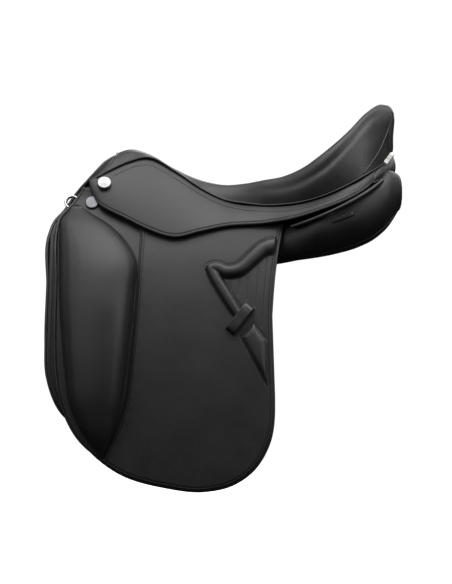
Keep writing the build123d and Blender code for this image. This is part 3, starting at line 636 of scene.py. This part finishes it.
# ---------------------------------------------------------------- skirts
# Along the skirt: x, top half-width and height, bottom half-width and height, crown.
SKIRT = [(-204, 58, 122, 60, 118, 0.2), (-190, 55, 129, 78, 88, 2), (-178, 51.5, 133.5, 85, 79.5, 2.6),
         (-165, 46, 140.5, 90, 73, 3.3), (-150, 40, 148, 95, 66, 4), (-120, 33, 156, 106, 51, 5),
         (-75, 42, 135, 115, 37.5, 5), (-37, 53, 110, 112, 46, 4),
         (0, 66, 92, 108, 54, 3), (60, 85, 84, 111, 58.5, 1.5), (107, 100, 86, 121, 67, 1.5),
         (150, 108, 98, 127, 81, 1.5), (190, 107, 116, 121, 97, 1.5), (215, 96, 130, 107, 113, 1),
         (232, 76, 141, 84, 131, 0.5)]
SKIRT_X = [row[0] for row in SKIRT]
SKIRT_EDGE = [(0, -1.6), (0.5, -0.6), (1.4, 0.0), (2.6, 0.15), (3.8, 0.0), (4.4, -0.45), (5.0, -0.45),
              (5.6, 0.0), (7.5, 0.0)]
SEAM_LINE = 13.0


def skirt_section(x):
    """The skirt's top and bottom and its crown at a place."""
    return curve(SKIRT_X, [row[1:] for row in SKIRT], x)[0]


def skirt_point(x, away, side, lift=0.0, from_top=False):
    """A point of the skirt at a distance from its lower edge, or from its seam."""
    ty, tz, ly, lz, crown = skirt_section(x)
    length = math.hypot(ly - ty, lz - tz)
    v = away / length if from_top else 1 - away / length
    ny, nz = -(lz - tz) / length, (ly - ty) / length
    rise = 4 * crown * v * (1 - v) + lift
    return [x, side * (ty + (ly - ty) * v + ny * rise), tz + (lz - tz) * v + nz * rise], [0, side * ny, nz]


def make_skirt(word, side):
    """One skirt, a lobe over the flap's top that narrows towards the cantle, and its rows of stitching."""
    xs = np.concatenate([-204 + 14 * np.linspace(0, 1, 12) ** 1.6, np.linspace(-188, 215, 130),
                         np.linspace(217, 232, 7)])
    top, back = [], []
    for x in xs:
        ty, tz, ly, lz, _ = skirt_section(x)
        length = math.hypot(ly - ty, lz - tz)
        room = min(1.0, length / 30)
        near = [(d * room, h * room) for d, h in SKIRT_EDGE]
        far = [((1 - s) * near[-1][0] + s * length, 0.0) for s in np.linspace(0, 1, 34)[1:]]
        if length > 40:
            far = [(d, -0.5 * math.exp(-(((length - d - SEAM_LINE) / 0.8) ** 2))) for d, _ in far]
        far += [(length + 3.0, -1.8), (length + 6.0, -4.0)]
        end = 1 - math.exp(-(x + 204.0) / 2.0) if x < -190 else 1 - math.exp(-(232.0 - x) / 1.5)
        top.append([skirt_point(x, d, side, h - 1.2 * (1 - end))[0] for d, h in near + far])
        back.append([skirt_point(x, d, side, -LEATHER + 0.2)[0] for d, _ in near + far])
    skirt = shell(f"Skirt_{word}", np.array(top), np.array(back), FLAP_LEATHER)
    edge = [skirt_point(x, 4.7, side, -0.05) for x in np.linspace(-196, 228, 160)]
    inner = [skirt_point(x, SEAM_LINE, side, -0.1, True) for x in np.linspace(-168, 222, 140)]
    rows = [([p for p, _ in line], [n for _, n in line]) for line in (edge, inner)]
    thread_rows = stitches(f"Skirt_thread_{word}", rows, THREAD, 3.4, 2.5, 0.85)
    return skirt, thread_rows


def fold_window(ends, normal, above, below, side):
    """Where a sheet bends about a fold line: a point above the line and one below it, along the sheet."""
    a, b = (np.array(p, float) for p in ends)
    along = (b - a) / np.linalg.norm(b - a)
    up = np.cross(along, normal)
    up /= np.linalg.norm(up)
    middle = (a + b) / 2
    start, end = middle + up * above, middle - up * below
    return [(p * [1, side, 1] * MM).tolist() for p in (start, end)]


FLAP_FOLD = [(-255, 83.569, 64.057), (97, 130.374, 14.024)]
SKIRT_FOLD = [(-200, 66, 113), (22.5, 108.5, 59.5)]
skirts = {}
for word, side in SIDES:
    window = fold_window(SKIRT_FOLD, (0, 0.78, 0.62), 10, 14, side)
    skirts[word] = make_skirt(word, side)
    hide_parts(f"skirt_{word}", f"skirt_root_{word}")
    for piece in skirts[word]:
        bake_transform(piece)

# The band that carries the skirts' line round the back of the cantle.
BAND_TOP = [(222, 87, 134), (233, 72, 144), (244, 50, 152), (251, 22, 159), (253, 0, 161)]
BAND_LOW = [(222, 96, 119), (234, 82, 124), (246, 56, 128), (254, 24, 132), (256, 0, 133)]


def mirrored(points):
    """A line from the right side to the middle, carried on to the left."""
    return points + [(x, -y, z) for x, y, z in points[-2::-1]]


band_top, band_low = through(mirrored(BAND_TOP), 3.0), through(mirrored(BAND_LOW), 3.0)
count = min(len(band_top), len(band_low))
band_top, band_low = (line[np.linspace(0, len(line) - 1, count).round().astype(int)]
                      for line in (band_top, band_low))
across = np.linspace(0, 1, 12)[:, None, None]
bulge = np.sin(across * math.pi)
outwards = np.stack([np.full(count, 0.8), band_top[:, 1] / 110, np.zeros(count)], -1)
band = band_top[None] * (1 - across) + band_low[None] * across + bulge * outwards[None] * 3.4
cantle_band = shell("Cantle_band", band, band - outwards[None] * 3.0, FLAP_LEATHER)
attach(cantle_band, "root")
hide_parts("cantle_facing")
for label, line in (("upper", band_top), ("lower", band_low)):
    roll = tube(f"Cantle_band_roll_{label}", line + outwards * 0.4, 1.6, EDGE_LEATHER)
    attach(roll, "root")

# ---------------------------------------------------------------- flaps
FLAP = [
    [(-211.5, 111), (-226.5, 88), (-240, 73.5), (-248, 64), (-251, 48)],
    [(-251, 48), (-253.5, -117)],
    [(-253.5, -117), (-252, -168), (-240, -225), (-214.5, -270), (-157.5, -318), (-91.5, -338),
     (-30, -344), (12, -334.5), (44, -312), (66, -276), (75, -200)],
    [(75, -200), (71, -81)],
    [(71, -81), (77.7, -3.6), (89, 60)],
    [(89, 60), (-150, 62)],
    [(-150, 62), (-166, 84), (-196, 112)],
    [(-196, 112), (-211.5, 111)],
]
FACING = [
    [(-127.5, 60), (-127.5, 36)],
    [(-127.5, 36), (-131, -20), (-139, -120), (-153.5, -223.5), (-185, -297)],
    [(-185, -297), (-157, -314.5), (-91, -334.5), (-30, -340.5), (10, -331), (41, -309),
     (62.5, -274), (71.5, -200)],
    [(71.5, -200), (67.5, -81)],
    [(67.5, -81), (74, -3.6), (85, 58)],
    [(85, 58), (-127.5, 60)],
]
SWEAT_FLAP = [
    [(-190, 142), (-208, 124), (-226, 104), (-241, 82), (-256, 66), (-263, 48)],
    [(-263, 48), (-267, -117)],
    [(-267, -117), (-265.5, -168), (-244, -222), (-185, -262), (-60, -280), (0, -270),
     (38, -235), (49, -180)],
    [(49, -180), (51, -60)],
    [(51, -60), (54, 44)],
    [(54, 44), (-150, 52)],
    [(-150, 52), (-200, 84), (-188, 110), (-174, 142)],
    [(-174, 142), (-190, 142)],
]
flap_outline, facing_outline, sweat_outline = (chained(s) for s in (FLAP, FACING, SWEAT_FLAP))
facing_front = np.vstack([through(FACING[0]), through(FACING[1])[1:]])
EDGE = [(0, 1.2), (0.5, 2.3), (1.3, 2.9), (2.6, 3.05), (4.0, 3.0), (6.0, 3.0)]
THIN_EDGE = [(0, 0.6), (0.5, 1.5), (1.2, 1.95), (2.4, 2.0), (3.0, 1.6), (3.6, 1.6), (4.2, 2.0), (6.0, 2.0)]

# The calf pad's raised shapes: strokes of (x, z, radius), and the wedge below the keeper.
ROLL = [(74, 22, 11.5), (59.5, 18, 11), (38.5, 1, 10.5), (20, -14, 9.8), (2, -16.5, 9.2),
        (-14, -11, 8.6), (-22, -12, 7.4)]
LEG = [(-22, -12, 7.4), (-15, -25, 8.2), (-2, -46, 8.4), (10, -65, 8.2), (19, -79, 7.6)]
WEDGE = [(42.5, -94), (24.5, -113), (63.5, -185), (62.5, -119)]
FAN = [((8.5, -31), (9.5, -43)), ((21.5, -29), (19.5, -51)), ((33.5, -26), (32.5, -59)),
       ((49.5, -11), (44.5, -69)), ((62, 2), (54.5, -99))]
PAD_HEIGHT = 9.2
STRIP_ROWS = (2.4, 6.6)  # the two sewn grooves of the front strip, from the facing's front edge


def stroke_reach(flat, stroke):
    """Each point's distance from a stroke's middle line, and the stroke's radius there."""
    line = through(stroke, 2.0)
    away, place = line_distance(flat, line[:, :2])
    return away, np.interp(place, np.linspace(0, 1, len(line)), line[:, 2])


def stroke_height(flat, stroke):
    """The padded height of a stroke at each point."""
    away, radius = stroke_reach(flat, stroke)
    share = np.clip(away / radius, 0, 1)
    return PAD_HEIGHT * (radius / 11) ** 0.5 * (1 - share**2.3) ** 0.6


def facing_relief(x, z):
    """Heights of the calf pad, its sewn grooves and the strip along the facing's front edge."""
    flat = np.stack([x, z], -1)
    corners = np.array(WEDGE, float)
    within = inside(flat, corners)
    away = line_distance(flat, corners, closed=True)[0]
    ridge = line_distance(flat, np.array([(42.5, -97), (50, -122), (61, -172)], float))[0]
    wedge = np.where(within, 7.0 * (1 - np.exp(-away / 3.4)) * np.exp(-((ridge / 26) ** 2)), 0)
    cut = np.clip((76.5 - x + 0.12 * (z - 22)) / 2.2, 0, 1)
    raised = np.maximum(stroke_height(flat, ROLL) * cut, stroke_height(flat, LEG))
    raised = np.maximum(raised, wedge)
    for stroke in FAN:
        groove = line_distance(flat, np.array(stroke, float))[0]
        raised -= 1.1 * np.exp(-((groove / 1.1) ** 2)) * (raised < 1)
    strip = line_distance(flat, facing_front)[0]
    raised += 0.9 * (1 - np.clip((strip - 8.5) / 1.2, 0, 1))
    for row in STRIP_ROWS:
        raised -= 0.8 * np.exp(-(((strip - row) / 0.8) ** 2))
    foot = np.where(within, -away, away)
    for stroke in (ROLL, LEG):
        middle, radius = stroke_reach(flat, stroke)
        foot = np.minimum(foot, middle - radius)
    return raised - 0.9 * np.exp(-(((foot - 1.3) / 1.1) ** 2)) * (x < 73)


def pad_outline(stroke, extra):
    """The line a stroke's edge follows, on both sides, extra beyond its radius."""
    line = through(stroke, 3.0)
    tangent = np.gradient(line[:, :2], axis=0)
    tangent /= np.linalg.norm(tangent, axis=1)[:, None]
    normal = np.stack([-tangent[:, 1], tangent[:, 0]], -1)
    reach = (line[:, 2] + extra)[:, None]
    return line[:, :2] + normal * reach, line[:, :2] - normal * reach


# ---------------------------------------------------------------- thigh blocks
# Down the block: height, front edge, rear edge and thickness above the flap.
BLOCK = [(83, -231, -215, 2.5), (75, -237, -203, 10), (64, -246.5, -184, 20), (44, -249, -159, 30),
         (8, -249.5, -134, 40),
         (-45, -249, -135.5, 44), (-105, -245.5, -140.5, 44), (-165, -240, -147.5, 41),
         (-222, -230, -156, 34), (-264, -208, -170, 23), (-289, -190, -182, 9)]
BLOCK_FOOT = 3.3
BLOCK_END = [(0.92, 1.6), (0.75, 2.8), (0.45, 3.6)]  # the rounded ends: size of each ring, and how far out
CREST = [(0, 0.0), (0.02, 0.32), (0.07, 0.60), (0.16, 0.83), (0.30, 0.97), (0.45, 1.0), (0.62, 0.96),
         (0.78, 0.85), (0.9, 0.66), (0.97, 0.38), (1, 0.0)]


def block_at(z, share, side, extra=0.0):
    """A point of the block's skin, share of the way from its rear edge to its front."""
    zs = [row[0] for row in BLOCK[::-1]]
    front, rear, high = curve(zs, [row[1:] for row in BLOCK[::-1]], z)[0]
    high = max(high, 2.0)
    level = curve([c[0] for c in CREST], [c[1] for c in CREST], share)[0, 0]
    x = rear + (front - rear) * share
    foot = on_side([(x, z)], BLOCK_FOOT, side)[0]
    return [x, foot[1] + side * (max(level, 0) * high + extra), z]


def make_block(word, side):
    """One padded thigh block and its rows of stitching."""
    ease = (1 - np.cos(np.linspace(0, math.pi, 60))) / 2
    zs = -289 + (83 + 289) * (ease * 0.5 + np.linspace(0, 1, 60) * 0.5)
    shares = (1 - np.cos(np.linspace(0, math.pi, 44))) / 2
    rings = []
    for z in zs:
        skin = np.array([block_at(z, s, side) for s in shares])
        line = np.stack([np.linspace(skin[-1, 0], skin[0, 0], 8)[1:-1], np.full(6, z)], -1)
        rings.append(np.vstack([skin, on_side(line, BLOCK_FOOT, side)]))
    ends = []
    for ring, sign in ((rings[0], -1), (rings[-1], 1)):
        middle = ring.mean(0)
        ends.append([middle + (ring - middle) * k + [0, 0, sign * d] for k, d in BLOCK_END])
    rings = ends[0][::-1] + rings + ends[1]
    block = closed_loft(f"Thigh_block_{word}", np.array(rings), BLOCK_LEATHER)
    line = np.linspace(60, -270, 150)
    front = [block_at(z, 0.972, side, 0.1) for z in line]
    top = [block_at(z, 0.045, side, 0.1) for z in np.linspace(60, -255, 140)]
    facing = [([-0.75, side * 0.65, 0], front), ([0.75, side * 0.65, 0], top)]
    rows = [(path, [n] * len(path)) for n, path in facing]
    sewn = stitches(f"Block_thread_{word}", rows, THREAD, 3.6, 2.5, 0.75)
    return block, sewn


# The keeper: its middle, the lie of its length, its arch along that, and the drop of its skin across it.
KEEPER_MIDDLE = np.array([22.5, -87.0])
KEEPER_TURN = math.radians(52)
KEEPER_BASE = 5.1
KEEPER_SKIN = 2.3
KEEPER_ARCH = [(-25.5, 2.3), (-24.6, 5.5), (-21.5, 8.6), (-15, 10.4), (0, 10.9), (15, 10.4), (21.5, 8.6),
               (24.6, 5.5), (25.5, 2.3)]
KEEPER_SECTION = [(-7.6, -1.9), (-7.7, -0.7), (-7.0, 0.05), (-5.2, 0.12), (0, 0.3), (5.2, 0.12), (7.0, 0.05),
                  (7.7, -0.7), (7.6, -1.9)]


def make_keeper(word, side):
    """The strap bridge that holds the stirrup leather's end: a padded bar with a skin of leather."""
    u = np.array([math.cos(KEEPER_TURN), math.sin(KEEPER_TURN)])
    v = np.array([-u[1], u[0]])
    arch = through(KEEPER_ARCH, 1.5)
    section = through(KEEPER_SECTION, 0.9)
    top = np.zeros((len(arch), len(section), 3))
    back = np.zeros_like(top)
    for i, (along, high) in enumerate(arch):
        crown = KEEPER_BASE + high - KEEPER_SKIN
        low = KEEPER_BASE + max(high - 5.5, -0.2)
        for j, (wide, drop) in enumerate(section):
            outer = KEEPER_MIDDLE + u * along + v * wide
            inner = KEEPER_MIDDLE + u * along * 0.93 + v * wide * 0.96
            top[i, j] = on_side([outer], crown + max(drop, -high + 0.4), side)[0]
            back[i, j] = on_side([inner], low, side)[0]
    keeper = shell(f"Strap_keeper_{word}", top, back, EDGE_LEATHER)
    rows = []
    places = np.linspace(-19, 19, 24)
    for wide in (-5.6, 5.6):
        line = [KEEPER_MIDDLE + u * place + v * wide for place in places]
        high = np.interp(places, arch[:, 0], arch[:, 1])
        path = on_side(line, KEEPER_BASE + high - KEEPER_SKIN + 0.15, side)
        rows.append((path, on_side(line, 20.0, side) - on_side(line, 19.0, side)))
    return keeper, stitches(f"Keeper_thread_{word}", rows, THREAD, 3.2, 2.2, 0.6)


FLAP_ROLL = [(-211.5, 111), (-226.5, 88), (-240, 73.5), (-248, 64), (-252, 48), (-253, -30),
             (-254.5, -117), (-252.5, -168), (-240.5, -225), (-215, -270), (-190, -292)]
SWEAT_ROLL = [(-166, 160), (-176, 154), (-190, 142.5), (-208, 124), (-226, 104), (-241, 84), (-255.5, 68),
              (-263.5, 48), (-265.5, -30), (-268, -117), (-266, -168), (-245, -222), (-185, -263)]


def front_roll(name, route, lift, widths, side):
    """A rolled front edge on the saddle's side, thinner at its ends."""
    path = on_side(route, lift, side)
    radius = np.interp(np.linspace(0, 1, len(path)), [0, 0.1, 0.85, 1], widths)
    return path, tube(name, path, radius, EDGE_LEATHER)


def facing_rows(side):
    """The facing's stitching: two rows down its front strip and one along the rest of its edge."""
    rows = []
    front = facing_front[1:]
    tangent = np.gradient(front, axis=0)
    tangent /= np.linalg.norm(tangent, axis=1)[:, None]
    normal = np.stack([-tangent[:, 1], tangent[:, 0]], -1)
    for away in STRIP_ROWS:
        rows.append(side_row(front + normal * away, 5.6, side))
    line = inset(facing_outline, 3.3)
    keep = (line[:, 1] < 54) & (line_distance(line, facing_front)[0] > 4)
    order = np.roll(np.arange(len(line)), -int(np.argmax(~keep)))
    rows.append(side_row(line[order][keep[order]], 4.9, side))
    return rows


def pad_rows(side):
    """The calf pad's stitching, round its raised shapes and down its fan of grooves."""
    rows = []
    upper, lower = pad_outline(ROLL, 1.6)
    for line in (upper[2:], lower[3:-5]):
        rows.append(side_row(line, 4.9, side))
    upper, lower = pad_outline(LEG, 1.6)
    for line in (upper[6:-1], lower[1:-1]):
        rows.append(side_row(line, 4.9, side))
    wedge = inset(chained([[a, b] for a, b in zip(WEDGE, WEDGE[1:] + WEDGE[:1])], 4.0), -1.6)
    rows.append(side_row(np.vstack([wedge, wedge[:1]]), 5.0, side))
    for stroke in FAN:
        rows.append(side_row(stroke, 4.2, side))
    rows.append(side_row([(-3.5, -121), (1.5, -114.5), (7, -109)], 5.0, side))
    return rows


def add_flap(word, side):
    """One flap with its facing, thigh block, keeper, rolled edge and stitching."""
    flap = cut_sheet(f"Flap_{word}", flap_outline, 0.0, EDGE, side, FLAP_LEATHER, pitch=7.0)
    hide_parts(f"flap_{word}", f"flap_head_{word}")
    facing = cut_sheet(f"Flap_facing_{word}", facing_outline, 3.1, THIN_EDGE, side, FLAP_LEATHER,
                       relief=facing_relief, fine=(-34, 82, -192, 44))
    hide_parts(f"flap_facing_{word}", f"calf_pad_{word}")
    block, block_thread = make_block(word, side)
    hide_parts(f"block_core_{word}", f"block_cover_{word}")
    keeper, keeper_thread = make_keeper(word, side)
    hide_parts(f"leather_keeper_{word}")
    route = through(FLAP_ROLL, 4.0)
    _, roll = front_roll(f"Flap_roll_{word}", route, 2.4, [1.6, 2.6, 2.4, 1.4], side)
    rows = facing_rows(side)
    facing_thread = stitches(f"Facing_thread_{word}", rows, THREAD, 3.8, 2.7, 1.05)
    rows = pad_rows(side)
    pad_thread = stitches(f"Calf_pad_thread_{word}", rows, THREAD, 2.6, 1.9, 0.6)
    bend = fold_window(FLAP_FOLD, (0, 0.86, 0.51), 20, 24, side)
    for piece in (flap, facing, roll, facing_thread, block, block_thread, keeper, keeper_thread, pad_thread):
        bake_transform(piece)


def add_sweat_flap(word, side):
    """One sweat flap with its stitching, and its rolled edge, which runs on up to the pommel."""
    sweat = cut_sheet(f"Sweat_flap_{word}", sweat_outline, -16.0, EDGE, side, LINING_LEATHER,
                      pitch=8.0)
    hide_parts(f"sweat_flap_{word}")
    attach(sweat, "root")
    route = through(SWEAT_ROLL, 4.0)
    lift = np.interp(route[:, 1], [110, 130, 150], [-15, -8, -1])
    path, roll = front_roll(f"Sweat_flap_roll_{word}", route, lift, [2.0, 3.0, 2.6, 1.4], side)
    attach(roll, "root")
    heights = np.linspace(161, 118, 20)
    outer = np.array([[np.interp(-z, -path[:, 2], path[:, k]) for k in range(3)] for z in heights])
    half = front_edge[front_edge[:, 1] * side > 4]
    half = half[np.argsort(half[:, 2])]
    inner = np.array([[np.interp(z, half[:, 2], half[:, k]) for k in range(3)] for z in heights])
    share = np.linspace(0, 1, 8)[:, None, None]
    sheet = outer[None] * (1 - share) + (inner[None] + [4.0, 0, 0]) * share
    back = sheet - [0, side * 1.8, 0.6]
    gusset = shell(f"Pommel_gusset_{word}", sheet, back, LINING_LEATHER)
    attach(gusset, "root")
    row = side_row(inset(sweat_outline, 6.0), -12.95, side)
    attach(stitches(f"Sweat_flap_thread_{word}", [row], THREAD), "root")


for word, side in SIDES:
    add_flap(word, side)
    add_sweat_flap(word, side)

# ---------------------------------------------------------------- panels
# Along each flocked panel: x and eight section points, from the inner top corner round under the panel.
PANEL = [
    (-205, [(24, 74), (25, 44), (50, 0), (82, -42), (100, -52), (92, -20), (55, 24), (34, 58)]),
    (-170, [(25, 76), (26, 45), (51, -1), (84, -45), (104, -57), (94, -19), (56, 24), (35, 60)]),
    (-135, [(27, 76), (27, 46), (53, -2), (86, -45), (107, -56), (97, -18), (59, 25), (37, 62)]),
    (-100, [(32, 70), (32, 43), (55, 1), (86, -34), (105, -45), (94, -9), (64, 30), (44, 60)]),
    (-60, [(36, 66), (36, 40), (56, 4), (86, -22), (105, -34), (94, 0), (73, 33), (54, 60)]),
    (20, [(36, 62), (34, 38), (46, 8), (76, -7), (101, -13), (92, 12), (75, 37), (56, 59)]),
    (50, [(36, 61), (34, 38), (43, 9), (72, -3), (99, -5), (95, 18), (80, 42), (60, 60)]),
    (80, [(36, 60), (34, 38), (42, 10), (70, 0), (100, 2), (103, 26), (90, 50), (64, 62)]),
    (110, [(37, 66), (35, 41), (42, 13), (72, 3), (107, 10), (115, 37), (103, 62), (70, 71)]),
    (140, [(38, 74), (36, 45), (42, 18), (75, 7), (113, 20), (125, 46), (114, 74), (78, 82)]),
    (170, [(38, 85), (36, 52), (42, 25), (75, 13), (110, 27), (122, 55), (112, 86), (76, 96)]),
    (200, [(38, 96), (36, 60), (42, 34), (75, 22), (104, 36), (116, 65), (106, 98), (73, 110)]),
    (228, [(36, 112), (35, 80), (40, 52), (68, 37), (95, 50), (105, 80), (98, 108), (66, 128)]),
    (246, [(36, 124), (35, 94), (40, 68), (62, 54), (86, 66), (95, 92), (88, 120), (60, 138)]),
    (260, [(38, 124), (36, 104), (40, 86), (57, 76), (74, 86), (80, 102), (74, 120), (56, 132)]),
]


PANEL_X = [row[0] for row in PANEL]
PANEL_SECTION = [np.ravel(row[1]) for row in PANEL]
# The panel's rounded ends: size of each ring as a share of the last, and how far out it is.
PANEL_NOSE = [(0.93, 3.0), (0.8, 5.0), (0.5, 6.5)]
PANEL_TAIL = [(0.93, 2.0), (0.8, 4.0), (0.6, 5.4), (0.3, 6.4)]
PANEL_SEAMS = (("inner", 14), ("outer", 28))  # the points of each ring that the seams follow
TAB_X = np.linspace(160, 194, 9)
TAB_MIDDLE, TAB_RISE = (177, 67), 0.36  # its middle (x, z), and its rise towards the rear


def panel_ring(x, side, count=64):
    """The panel's section at a place, as a closed ring."""
    flat = curve(PANEL_X, PANEL_SECTION, x)[0].reshape(8, 2)
    loop = np.vstack([flat[-3:], flat, flat[:3]])
    s = np.r_[0, np.cumsum(np.linalg.norm(np.diff(loop, axis=0), axis=1))]
    ring = curve(s, loop, np.linspace(s[3], s[11], count, endpoint=False))
    return np.stack([np.full(count, x), side * ring[:, 0], ring[:, 1]], -1)


def rounded_end(ring, steps, out):
    """Smaller rings beyond the last one, each further out."""
    middle = ring.mean(0)
    return [middle + (ring - middle) * k + [out * d, 0, 0] for k, d in steps]


def make_tab(word, side):
    """The small blank leather tab on the panel's side."""
    rows = []
    for x in TAB_X:
        ring = panel_ring(x, side)
        outer = ring[np.abs(ring[:, 1]) > 80]
        outer = outer[np.argsort(outer[:, 2])]
        middle = TAB_MIDDLE[1] + (x - TAB_MIDDLE[0]) * TAB_RISE
        zs = middle + np.linspace(-4, 4, 7) * (0.72 if x in (TAB_X[0], TAB_X[-1]) else 1)
        rows.append(np.stack([np.full(7, x), np.interp(zs, outer[:, 2], outer[:, 1]), zs], -1))
    rows = np.array(rows)
    swell = np.full(rows.shape[:2], 1.5)
    swell[[0, -1]] = 0.7
    swell[:, [0, -1]] = 0.7
    top = rows + swell[..., None] * [0, side * 0.92, 0.3]
    return shell(f"Blank_tab_{word}", top, rows - [0, side * 0.4, 0], EDGE_LEATHER)


for word, side in SIDES:
    u = np.linspace(0, 1, 110)
    rings = [panel_ring(x, side) for x in -205 + 465 * (u * 0.8 + 0.2 * np.sin(u * math.pi / 2))]
    nose, tail = rounded_end(rings[0], PANEL_NOSE, -1), rounded_end(rings[-1], PANEL_TAIL, 1)
    body = np.array(nose[::-1] + rings + tail)
    panel = closed_loft(f"Panel_{word}", body, LINING_LEATHER)
    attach(panel, "root")
    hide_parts(f"panel_{word}")
    tab = make_tab(word, side)
    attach(tab, "root")
    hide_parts(f"panel_tab_{word}")
    for label, column in PANEL_SEAMS:
        path = np.array(rings)[3:-2:2, column]
        seam = tube(f"Panel_seam_{label}_{word}", path, 1.2, EDGE_LEATHER, 8)
        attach(seam, "root")

# ---------------------------------------------------------------- floor, light and camera
FLOOR_Z = -0.352
FLOOR_REACH = 4
corners = [(x * FLOOR_REACH, y * FLOOR_REACH, FLOOR_Z) for x, y in ((-1, -1), (1, -1), (1, 1), (-1, 1))]
floor_mesh = bpy.data.meshes.new("Floor")
floor_mesh.from_pydata(corners, [], [(0, 1, 2, 3)])
floor = bpy.data.objects.new("Floor", floor_mesh)
bpy.context.scene.collection.objects.link(floor)
paper, nodes, links, shader = material("Pale_floor", 0.9, specular=0.1)
where = nodes.new("ShaderNodeTexCoord").outputs["Object"]
stops = [(0.3, (0.93, 0.93, 0.93)), (0.7, (0.97, 0.97, 0.97))]
links.new(ramp(nodes, links, noise(nodes, links, where, 3.0), stops), shader.inputs["Base Color"])
shader.inputs["Emission Color"].default_value = (1, 1, 1, 1)
shader.inputs["Emission Strength"].default_value = 0.9
floor.data.materials.append(paper)
floor.visible_glossy = False
floor.visible_diffuse = False

world = bpy.data.worlds.new("Studio")
bpy.context.scene.world = world
world.use_nodes = True
sky, sky_links = world.node_tree.nodes, world.node_tree.links
for n in list(sky):
    sky.remove(n)
output = sky.new("ShaderNodeOutputWorld")
seen, lit = sky.new("ShaderNodeBackground"), sky.new("ShaderNodeBackground")
seen.inputs["Color"].default_value = (1, 1, 1, 1)
seen.inputs["Strength"].default_value = 1.05
direction = sky.new("ShaderNodeSeparateXYZ")
sky_links.new(sky.new("ShaderNodeTexCoord").outputs["Generated"], direction.inputs["Vector"])
stops = [(0.05, (0.03, 0.03, 0.03)), (0.95, (1.0, 1.0, 1.0))]
fade = ramp(sky, sky_links, direction.outputs["Z"], stops)
sky_links.new(fade, lit.inputs["Color"])
lit.inputs["Strength"].default_value = 0.7
mix = sky.new("ShaderNodeMixShader")
sky_links.new(sky.new("ShaderNodeLightPath").outputs["Is Camera Ray"], mix.inputs["Fac"])
sky_links.new(lit.outputs["Background"], mix.inputs[1])
sky_links.new(seen.outputs["Background"], mix.inputs[2])
sky_links.new(mix.outputs["Shader"], output.inputs["Surface"])


def softbox(name, place, target, size, power):
    """A rectangular area light that faces a point and isn't seen itself."""
    data = bpy.data.lights.new(name, "AREA")
    data.shape = "RECTANGLE"
    data.size, data.size_y = size
    data.energy = power
    light = bpy.data.objects.new(name, data)
    bpy.context.scene.collection.objects.link(light)
    light.location = place
    light.rotation_euler = (Vector(target) - Vector(place)).to_track_quat("-Z", "Y").to_euler()
    light.visible_camera = False


softbox("Overhead", (0.1, -0.40, 1.8), (0, 0, 0), (2.6, 1.3), 42)
softbox("Left_fill", (-1.9, -1.6, 0.9), (0, 0, 0), (1.2, 1.4), 7)
softbox("Right_fill", (1.8, -1.3, 1.1), (0.1, 0, 0.1), (1.0, 1.2), 13)
softbox("Back_fill", (0.8, 2.2, 1.2), (0, 0, 0), (2.0, 1.4), 20)

# A long lens from far off, so that near and far parts keep the same scale. Its view is VIEW_WIDTH metres
# wide at the saddle's near side.
CAMERA_AWAY, NEAR_SIDE, VIEW_WIDTH, SENSOR = 18.9, 0.1, 0.678, 36
camera = bpy.data.objects.new("Camera", bpy.data.cameras.new("Camera"))
bpy.context.scene.collection.objects.link(camera)
bpy.context.scene.camera = camera
camera.location = (0.0015, -CAMERA_AWAY, -0.045)
camera.rotation_euler = (math.radians(90), 0, 0)
camera.data.sensor_width = SENSOR
camera.data.sensor_fit = "HORIZONTAL"
camera.data.lens = SENSOR * (CAMERA_AWAY - NEAR_SIDE) / VIEW_WIDTH
bpy.context.scene.view_settings.view_transform = "Standard"
